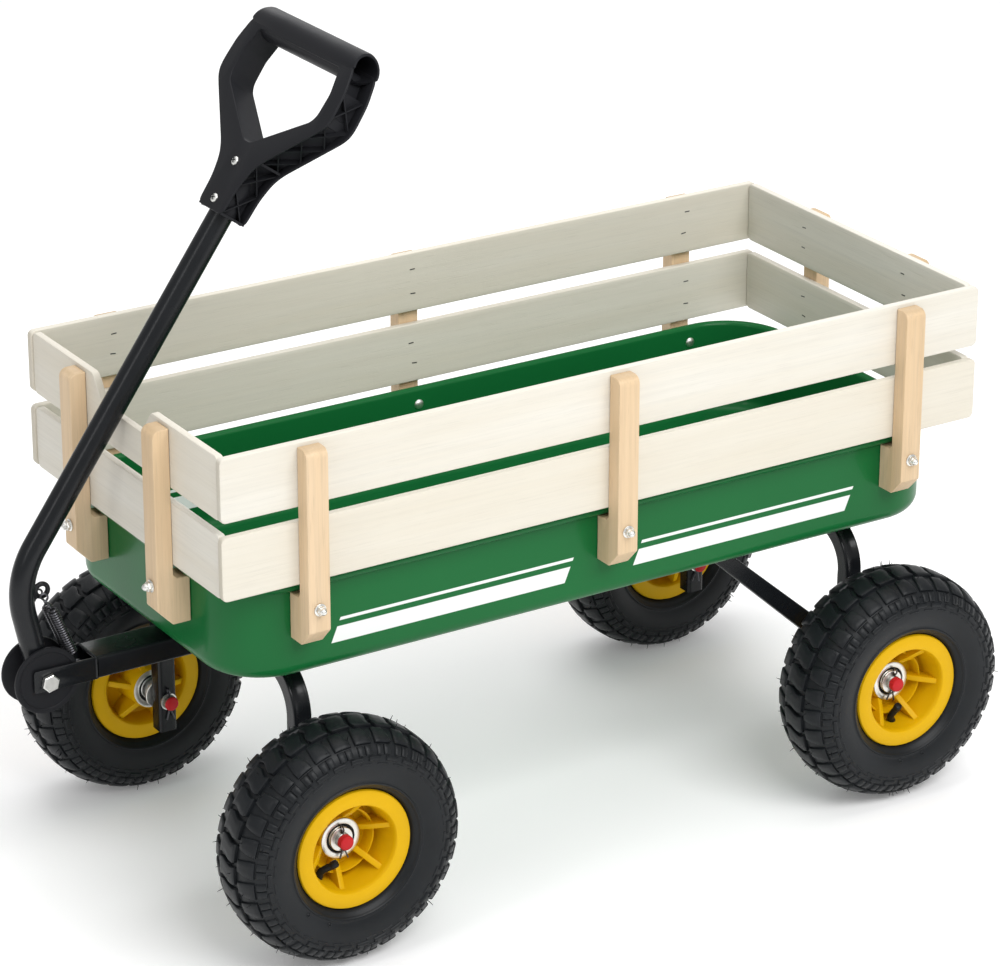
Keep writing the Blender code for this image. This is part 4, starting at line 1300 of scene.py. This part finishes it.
def make_hinge():
    for side, sign in (("left", -1), ("right", 1)):
        low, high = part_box(f"{side}_hinge_disc")
        radius = (high.x - low.x) / 2
        thick = high.y - low.y
        inner = min(abs(low.y), abs(high.y))
        place = facing((HINGE.x, sign * inner, HINGE.z), Y_AXIS * sign)
        profile = [(0.0054, 0), (radius - 0.0012, 0), (radius - 0.0003, 0.0004), (radius, 0.0013),
                   (radius, thick - 0.0013), (radius - 0.0003, thick - 0.0004),
                   (radius - 0.0012, thick), (radius - 0.0042, thick), (radius - 0.0050, thick - 0.0004),
                   (radius - 0.0056, thick - 0.0012), (0.0125, thick - 0.0012),
                   (0.0118, thick - 0.0004), (0.0108, thick), (0.0054, thick)]
        bm = bmesh.new()
        turn(bm, profile, 72, looped=True)
        finish_piece(f"{side}_pivot_disc", bm, STEERING, ["disc"],
                     [f"{side}_hinge_disc"], place, 30.0)
    low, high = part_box("hinge_bolt")
    face = TONGUE_HIGH.y + 0.0002
    bm = bmesh.new()
    for sign, end in ((-1, abs(low.y)), (1, high.y)):
        place = facing((HINGE.x, sign * face, HINGE.z), Y_AXIS * sign, math.radians(14))
        hexagon(bm, 0.0094, 0.0, min(end - face, 0.0072), place)
        if sign > 0:
            turn(bm, [(0, 0.006), (0.0048, 0.006), (0.0048, end - face - 0.0006),
                      (0.0042, end - face), (0, end - face)], 24, place)
    turn(bm, [(0, -face), (0.0049, -face), (0.0049, face), (0, face)], 24,
         facing((HINGE.x, 0, HINGE.z), Y_AXIS))
    finish_piece("pivot_bolt", bm, STEERING, ["zinc"], ["hinge_bolt"], None, 34.0)


def rest_point():
    edge = Vector((RAIL_FRONT_X, 0, RAIL_TOP - NOTCH_DEPTH))
    return edge + HANDLE_FRONT * (HANDLE_RADIUS + HANDLE_CLEARANCE)


def along_handle(height):
    start = rest_point()
    return start + HANDLE_UP * (height - start.z) / HANDLE_UP.z


def handle_path():
    knee = along_handle(KNEE_HEIGHT)
    foot = HINGE + (HINGE - knee).normalized() * (HANDLE_RADIUS - 0.001)
    top = along_handle(SOCKET_HEIGHT) + HANDLE_UP * (SOCKET_DEPTH - 0.001)
    return bent_path(foot, knee, top, KNEE_RADIUS, 24)


def ear_point():
    """The middle of the spring ear's hole, behind the tube."""
    path = handle_path()
    for low, high in zip(path, path[1:]):
        if low.z <= EAR_HEIGHT <= high.z:
            share = (EAR_HEIGHT - low.z) / (high.z - low.z)
            return low.lerp(high, share) + Vector((EAR_BACK, 0, 0))
    raise RuntimeError("the handle never reaches the ear's height")


def make_handle():
    path = handle_path()
    bm = bmesh.new()
    outer = []
    inner = []
    for point in path:
        squeeze = 1.0 - 0.06 * max(0.0, 1 - (point - path[0]).length / 0.030)
        outer.append([(a * squeeze, b / squeeze) for a, b in circle(HANDLE_RADIUS, 40)])
        inner.append([(a * squeeze, b / squeeze) for a, b in circle(HANDLE_RADIUS - HANDLE_WALL, 40)])
    tube(bm, path, outer, inner, Y_AXIS)
    hole = ear_point()
    root = -(EAR_BACK - HANDLE_RADIUS) - 0.0010
    ring = [(0.009 * math.cos(angle), 0.009 * math.sin(angle))
            for angle in (math.radians(-125 + 250 * i / 28) for i in range(29))]
    place = frame_at(hole, X_AXIS, Z_AXIS)
    add_plate(bm, [ring + [(root, 0.010), (root, -0.010)], circle(0.0044, 20)], 0.0045, place, 0.0016)
    for sign in (-1, 1):
        ends = [place @ Vector((root + 0.0012, -0.0095, sign * 0.0020)),
                place @ Vector((root + 0.0012, 0.0095, sign * 0.0020))]
        add_weld(bm, ends, 0.0014, Y_AXIS, 51)
    finish_piece("handle_bent_tube", bm, HANDLE, ["black"], ["handle_tube"],
                 None, 34.0)


def spring_path(top, bottom, side_y, turns):
    """A hook through the ear, a straight lead, the close coil, a lead and the lower hook."""
    axis = (bottom - top).normalized()
    across = axis.cross(Y_AXIS).normalized()
    shift = Vector((0, side_y, 0))
    start = top + shift
    end = bottom + shift
    coil_top = start.lerp(end, 0.18)
    coil_bottom = start.lerp(end, 0.86)
    radius = 0.0046
    points = []
    hook = start + across * -0.002
    for i in range(13):
        angle = math.radians(200 - 250 * i / 12)
        points.append(hook + across * 0.0042 * math.sin(angle) - axis * 0.0042 * math.cos(angle)
                      + Vector((0, 0.0006 * (i / 12 - 0.5), 0)))
    points.append(start.lerp(coil_top, 0.6))
    steps = 12
    for i in range(turns * steps + 1):
        angle = 2 * math.pi * i / steps
        centre = coil_top.lerp(coil_bottom, i / (turns * steps))
        grow = min(1.0, i / steps, (turns * steps - i) / steps)
        points.append(centre + (across * math.cos(angle) + Y_AXIS * math.sin(angle)) * radius * grow)
    points.append(coil_bottom.lerp(end, 0.4))
    for i in range(13):
        angle = math.radians(-20 + 250 * i / 12)
        points.append(end + across * 0.0036 * math.sin(angle) - axis * 0.0036 * math.cos(angle)
                      + Vector((0, 0.0006 * (i / 12 - 0.5), 0)))
    return points


def make_springs(sizes):
    top = ear_point() + Vector((0.001, 0, -0.0050))
    bottom = Vector((TONGUE_MOUTH_X - 0.013, 0, TONGUE_HIGH.z - 0.008))
    for side, sign in (("left", -1), ("right", 1)):
        node = f"{side}_return_spring"
        spread = abs(middle_of(node).y)
        bm = bmesh.new()
        path = spring_path(top, bottom, sign * spread, sizes.spring_turns)
        sweep(bm, path, circle(sizes.spring_wire, 6), Y_AXIS)
        mesh = mesh_from(f"{side}_coil_spring", bm, ["steel"])
        spring = bpy.data.objects.new(f"{side}_coil_spring", mesh)
        bpy.context.scene.collection.objects.link(spring)
        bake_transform(spring)
        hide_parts(node)


# ---------------------------------------------------------------- grip

GRIP_EDGE = [(0.0, 0.0235), (0.030, 0.0250), (0.050, 0.0310), (0.062, 0.0400), (0.116, 0.1010),
             (0.124, 0.1070), (0.134, 0.1090), (0.160, 0.1070), (0.187, 0.0980)]
GRIP_HOLE = [(0.0750, 0.0060), (0.1200, 0.0800), (0.1280, 0.0850), (0.1520, 0.0860), (0.1790, 0.0780)]
GRIP_BAR_AT = 0.188
GRIP_BAR_RADIUS = 0.017
GRIP_BAR_HALF = 0.0985
GRIP_HALF_THICK = 0.016


def mirrored_outline(half):
    return half + [(along, -side) for along, side in reversed(half)]


def points_along(line, spacing):
    """Points at an even spacing along a line of (along, side) points."""
    lengths = [math.dist(a, b) for a, b in zip(line, line[1:])]
    count = max(1, round(sum(lengths) / spacing))
    made = []
    for k in range(count + 1):
        rest = sum(lengths) * k / count
        for length, (first, second) in zip(lengths, zip(line, line[1:])):
            if rest <= length + 1e-9:
                made.append(Vector(first).lerp(Vector(second), rest / length))
                break
            rest -= length
    return made


def add_grip_ribs(bm):
    """Crossed ribs between the two face plates, open to the outside."""
    inset = 0.0085
    line = [(along, side - inset) for along, side in GRIP_EDGE[:8]]
    spots = points_along(line, 0.0310)
    depth_n = GRIP_HALF_THICK - 0.0015
    for sign in (-1, 1):
        for first, second in zip(spots, spots[1:]):
            a = Vector((first.x, first.y * sign, 0))
            b = Vector((second.x, second.y * sign, 0))
            inwards = Vector((0, 0, 1)).cross(b - a).normalized() * 0.0060
            for way in (-1, 1):
                low = a + Vector((0, 0, depth_n * way))
                high = b - Vector((0, 0, depth_n * way))
                add_bar(bm, low, high, inwards, 0.0012)
        inner = [Vector((x, y * sign, 0)) for x, y in
                 ((along, side - inset - 0.0052) for along, side in GRIP_EDGE[:8])]
        for a, b in zip(inner, inner[1:]):
            add_bar(bm, a, b, Z_AXIS * 2 * depth_n, 0.0022)


def add_crossbar(bm):
    """The hand bar: a thick tube whose open ends are cut at a slant."""
    steps = 40
    skins = []
    for radius in (GRIP_BAR_RADIUS, 0.0138):
        rings = []
        for share in (-1.0, -0.97, -0.5, 0.0, 0.5, 0.97, 1.0):
            ring = []
            for a, b in circle(radius, steps):
                opened = max(0.0, -a / GRIP_BAR_RADIUS - 0.15) * 0.020
                reach = GRIP_BAR_HALF - 0.30 * a - opened
                trim = 0.0008 if abs(share) == 1.0 and radius == GRIP_BAR_RADIUS else 0.0
                shrink = 1 - trim / radius
                ring.append(Vector((GRIP_BAR_AT + a * shrink, share * reach, b * shrink)))
            rings.append(ring)
        skins.append(rings)
    loft(bm, skins[0] + skins[1][::-1], looped=True)


def make_grip(sizes):
    place = frame_at(along_handle(SOCKET_HEIGHT), HANDLE_UP, Y_AXIS)
    outer = rounded_outline(mirrored_outline(GRIP_EDGE), 0.008, 5)
    hole = rounded_outline(mirrored_outline(GRIP_HOLE), 0.0045, 5)
    bm = bmesh.new()
    wall = sizes.grip_wall
    for sign in (-1, 1):
        level = Matrix.Translation((0, 0, sign * (GRIP_HALF_THICK - wall / 2)))
        add_plate(bm, [outer, hole], wall, level, wall * 0.42)
    add_plate(bm, [offset_outline(hole, 0.0030), hole], 2 * GRIP_HALF_THICK - 0.001,
              Matrix.Identity(4), 0.0009)
    add_grip_ribs(bm)
    add_crossbar(bm)
    sleeve = [(HANDLE_RADIUS + 0.0002, 0.0006), (0.0150, 0.0006), (0.0155, 0.0012),
              (0.0155, SOCKET_DEPTH), (HANDLE_RADIUS + 0.0002, SOCKET_DEPTH)]
    turn(bm, sleeve, 40, facing((0, 0, 0), X_AXIS), looped=True)
    for along in (0.0015, 0.0620):
        half = 0.0225 if along < 0.01 else 0.0380
        add_bar(bm, Vector((along, -half, 0)), Vector((along, half, 0)),
                Z_AXIS * (2 * GRIP_HALF_THICK - 0.002), 0.0024)
    finish_piece("d_grip", bm, HANDLE, ["grip"], ["handle_grip"], place, 34.0)
    bm = bmesh.new()
    for along in (0.0116, 0.0527):
        spot = Matrix.Translation((along, 0, GRIP_HALF_THICK - 0.0002))
        turn(bm, [(0, 0), (0.0046, 0)] + dome(0.0046, 0.0006, 0.0022), 28, spot)
        for angle in (0.4, 0.4 + math.pi / 2):
            place_slot = spot @ Matrix.Translation((0, 0, 0.0026)) @ Matrix.Rotation(angle, 4, "Z")
            add_box(bm, place_slot, (0.0052, 0.0009, 0.0009), 1)
    finish_piece("grip_screws", bm, HANDLE, ["zinc", "disc"], (), place)


# ---------------------------------------------------------------- stage

CAMERA_TARGET = Vector((0.1318, 0.1736, 0.300))
CAMERA_AZIMUTH = math.radians(-31.9)
CAMERA_HEIGHT = math.radians(22.5)
CAMERA_DISTANCE = 4.4378


def add_light(name, energy, size, spot, target):
    data = bpy.data.lights.new(name, "AREA")
    data.energy = energy
    data.shape = "RECTANGLE"
    data.size, data.size_y = size
    made = bpy.data.objects.new(name, data)
    made.location = spot
    made.rotation_mode = "QUATERNION"
    made.rotation_quaternion = (Vector(target) - Vector(spot)).to_track_quat("-Z", "Y")
    bpy.context.scene.collection.objects.link(made)


def make_camera():
    data = bpy.data.cameras.new("camera")
    data.lens = 145.89
    data.sensor_width = 36.0
    data.shift_x = 0.0137
    data.shift_y = -0.025
    back = Vector((math.sin(CAMERA_AZIMUTH) * math.cos(CAMERA_HEIGHT),
                   -math.cos(CAMERA_AZIMUTH) * math.cos(CAMERA_HEIGHT), math.sin(CAMERA_HEIGHT)))
    camera = bpy.data.objects.new("camera", data)
    camera.location = CAMERA_TARGET + back * CAMERA_DISTANCE
    camera.rotation_mode = "QUATERNION"
    camera.rotation_quaternion = (-back).to_track_quat("-Z", "Y")
    bpy.context.scene.collection.objects.link(camera)
    bpy.context.scene.camera = camera


def make_stage():
    bm = bmesh.new()
    rings = [[Vector((radius * math.cos(a), radius * math.sin(a), 0))
              for a in (2 * math.pi * i / 64 for i in range(64))] for radius in (2.0, 9.0, 30.0)]
    loft(bm, [[Vector((0, 0, 0))]] + rings)
    floor = bpy.data.objects.new("floor", mesh_from("floor", bm, ["floor"]))
    bpy.context.scene.collection.objects.link(floor)
    world = bpy.data.worlds.new("studio")
    world.use_nodes = True
    background = world.node_tree.nodes["Background"]
    background.inputs["Color"].default_value = (1, 1, 1, 1)
    background.inputs["Strength"].default_value = 0.50
    bpy.context.scene.world = world
    bpy.context.scene.view_settings.view_transform = "Standard"
    centre = (TUB_X, 0, 0.35)
    add_light("key softbox", 98.0, (2.8, 1.8), (0.2, -2.7, 3.0), centre)
    add_light("overhead softbox", 44.0, (2.6, 2.6), (0.2, 0.5, 3.4), centre)
    add_light("back softbox", 22.0, (2.4, 1.4), (1.6, 2.6, 2.0), centre)
    add_light("front strip", 9.0, (0.5, 1.8), (-2.6, -0.9, 1.9), centre)
    make_camera()


# ---------------------------------------------------------------- operators

class WAGON_OT_tub(bpy.types.Operator):
    """Press the green tub with its rolled rim and plain stripes"""

    bl_idname = "wagon.tub"
    bl_label = "Tub"

    def execute(self, context):
        make_tub()
        return {"FINISHED"}


class WAGON_OT_boards(bpy.types.Operator):
    """Saw the eight rail boards, notch the front one and nail them"""

    bl_idname = "wagon.boards"
    bl_label = "Rail boards"

    def execute(self, context):
        make_boards(context.scene.wagon_sizes)
        return {"FINISHED"}


class WAGON_OT_posts(bpy.types.Operator):
    """Cut the ten posts that carry the rails"""

    bl_idname = "wagon.posts"
    bl_label = "Posts"

    def execute(self, context):
        make_posts(context.scene.wagon_sizes)
        return {"FINISHED"}


class WAGON_OT_post_bolts(bpy.types.Operator):
    """Bolt each post to the tub with a domed nut"""

    bl_idname = "wagon.post_bolts"
    bl_label = "Post bolts"

    def execute(self, context):
        for name in POST_NAMES:
            make_post_bolt(name)
        return {"FINISHED"}


class WAGON_OT_arches(bpy.types.Operator):
    """Bend the two axle arches and fit their plates and the kingpin"""

    bl_idname = "wagon.arches"
    bl_label = "Axle arches"

    def execute(self, context):
        make_front_arch(context.scene.wagon_sizes)
        make_rear_arch()
        make_flat_plate("upper_turntable_plate", "upper_pivot_plate")
        make_flat_plate("rear_axle_bracket", "rear_arch_plate")
        make_kingpin()
        return {"FINISHED"}


class WAGON_OT_braces(bpy.types.Operator):
    """Brace the rear arch to the tub"""

    bl_idname = "wagon.braces"
    bl_label = "Rear braces"

    def execute(self, context):
        for side in ("left", "right"):
            make_brace(side)
        return {"FINISHED"}


class WAGON_OT_tyres(bpy.types.Operator):
    """Mould the four tyres with their lugs and hairs"""

    bl_idname = "wagon.tyres"
    bl_label = "Tyres"

    def execute(self, context):
        make_tyres(context.scene.wagon_sizes)
        return {"FINISHED"}


class WAGON_OT_hubs(bpy.types.Operator):
    """Mould the dished hubs and fit their bearings and valves"""

    bl_idname = "wagon.hubs"
    bl_label = "Hubs and bearings"

    def execute(self, context):
        make_hubs(context.scene.wagon_sizes)
        make_bearings()
        make_valves()
        return {"FINISHED"}


class WAGON_OT_axles(bpy.types.Operator):
    """Fit the stub axles with their caps and split pins"""

    bl_idname = "wagon.axles"
    bl_label = "Axles"

    def execute(self, context):
        for wheel in WHEELS:
            make_axle(wheel)
        return {"FINISHED"}


class WAGON_OT_tongue(bpy.types.Operator):
    """Weld the tongue and assemble the hinge on it"""

    bl_idname = "wagon.tongue"
    bl_label = "Tongue and hinge"

    def execute(self, context):
        make_tongue(context.scene.wagon_sizes)
        make_hinge()
        return {"FINISHED"}


class WAGON_OT_handle(bpy.types.Operator):
    """Bend the handle tube with its spring ear"""

    bl_idname = "wagon.handle"
    bl_label = "Handle tube"

    def execute(self, context):
        make_handle()
        return {"FINISHED"}


class WAGON_OT_grip(bpy.types.Operator):
    """Mould the D-shaped grip and drive its screws"""

    bl_idname = "wagon.grip"
    bl_label = "Grip"

    def execute(self, context):
        make_grip(context.scene.wagon_sizes)
        return {"FINISHED"}


class WAGON_OT_springs(bpy.types.Operator):
    """Hook the two return springs between the tongue and the handle"""

    bl_idname = "wagon.springs"
    bl_label = "Return springs"

    def execute(self, context):
        make_springs(context.scene.wagon_sizes)
        return {"FINISHED"}


class WAGON_OT_stage(bpy.types.Operator):
    """Set the floor, the soft lights and the camera"""

    bl_idname = "wagon.stage"
    bl_label = "Stage"

    def execute(self, context):
        make_stage()
        return {"FINISHED"}


OPERATORS = (WAGON_OT_tub, WAGON_OT_boards, WAGON_OT_posts, WAGON_OT_post_bolts, WAGON_OT_arches,
             WAGON_OT_braces, WAGON_OT_tyres, WAGON_OT_hubs, WAGON_OT_axles, WAGON_OT_tongue,
             WAGON_OT_handle, WAGON_OT_grip, WAGON_OT_springs, WAGON_OT_stage)


class WAGON_PT_panel(bpy.types.Panel):
    """Lists the wagon's pieces, sizes and colours"""

    bl_idname = "WAGON_PT_panel"
    bl_label = "Pull Wagon"
    bl_space_type = "VIEW_3D"
    bl_region_type = "UI"
    bl_category = "Wagon"

    def draw(self, context):
        for operator in OPERATORS:
            self.layout.operator(operator.bl_idname)
        for group in (context.scene.wagon_sizes, context.scene.wagon_colours):
            for name in group.__annotations__:
                self.layout.prop(group, name)


CLASSES = (WagonSizes, WagonColours, *OPERATORS, WAGON_PT_panel)


def register():
    for each in CLASSES:
        bpy.utils.register_class(each)
    bpy.types.Scene.wagon_sizes = bpy.props.PointerProperty(type=WagonSizes)
    bpy.types.Scene.wagon_colours = bpy.props.PointerProperty(type=WagonColours)


def unregister():
    del bpy.types.Scene.wagon_sizes
    del bpy.types.Scene.wagon_colours
    for each in reversed(CLASSES):
        bpy.utils.unregister_class(each)


def main():
    register()
    for operator in OPERATORS:
        name = operator.bl_idname.split(".")[1]
        getattr(bpy.ops.wagon, name)()


if __name__ == "__main__":
    main()
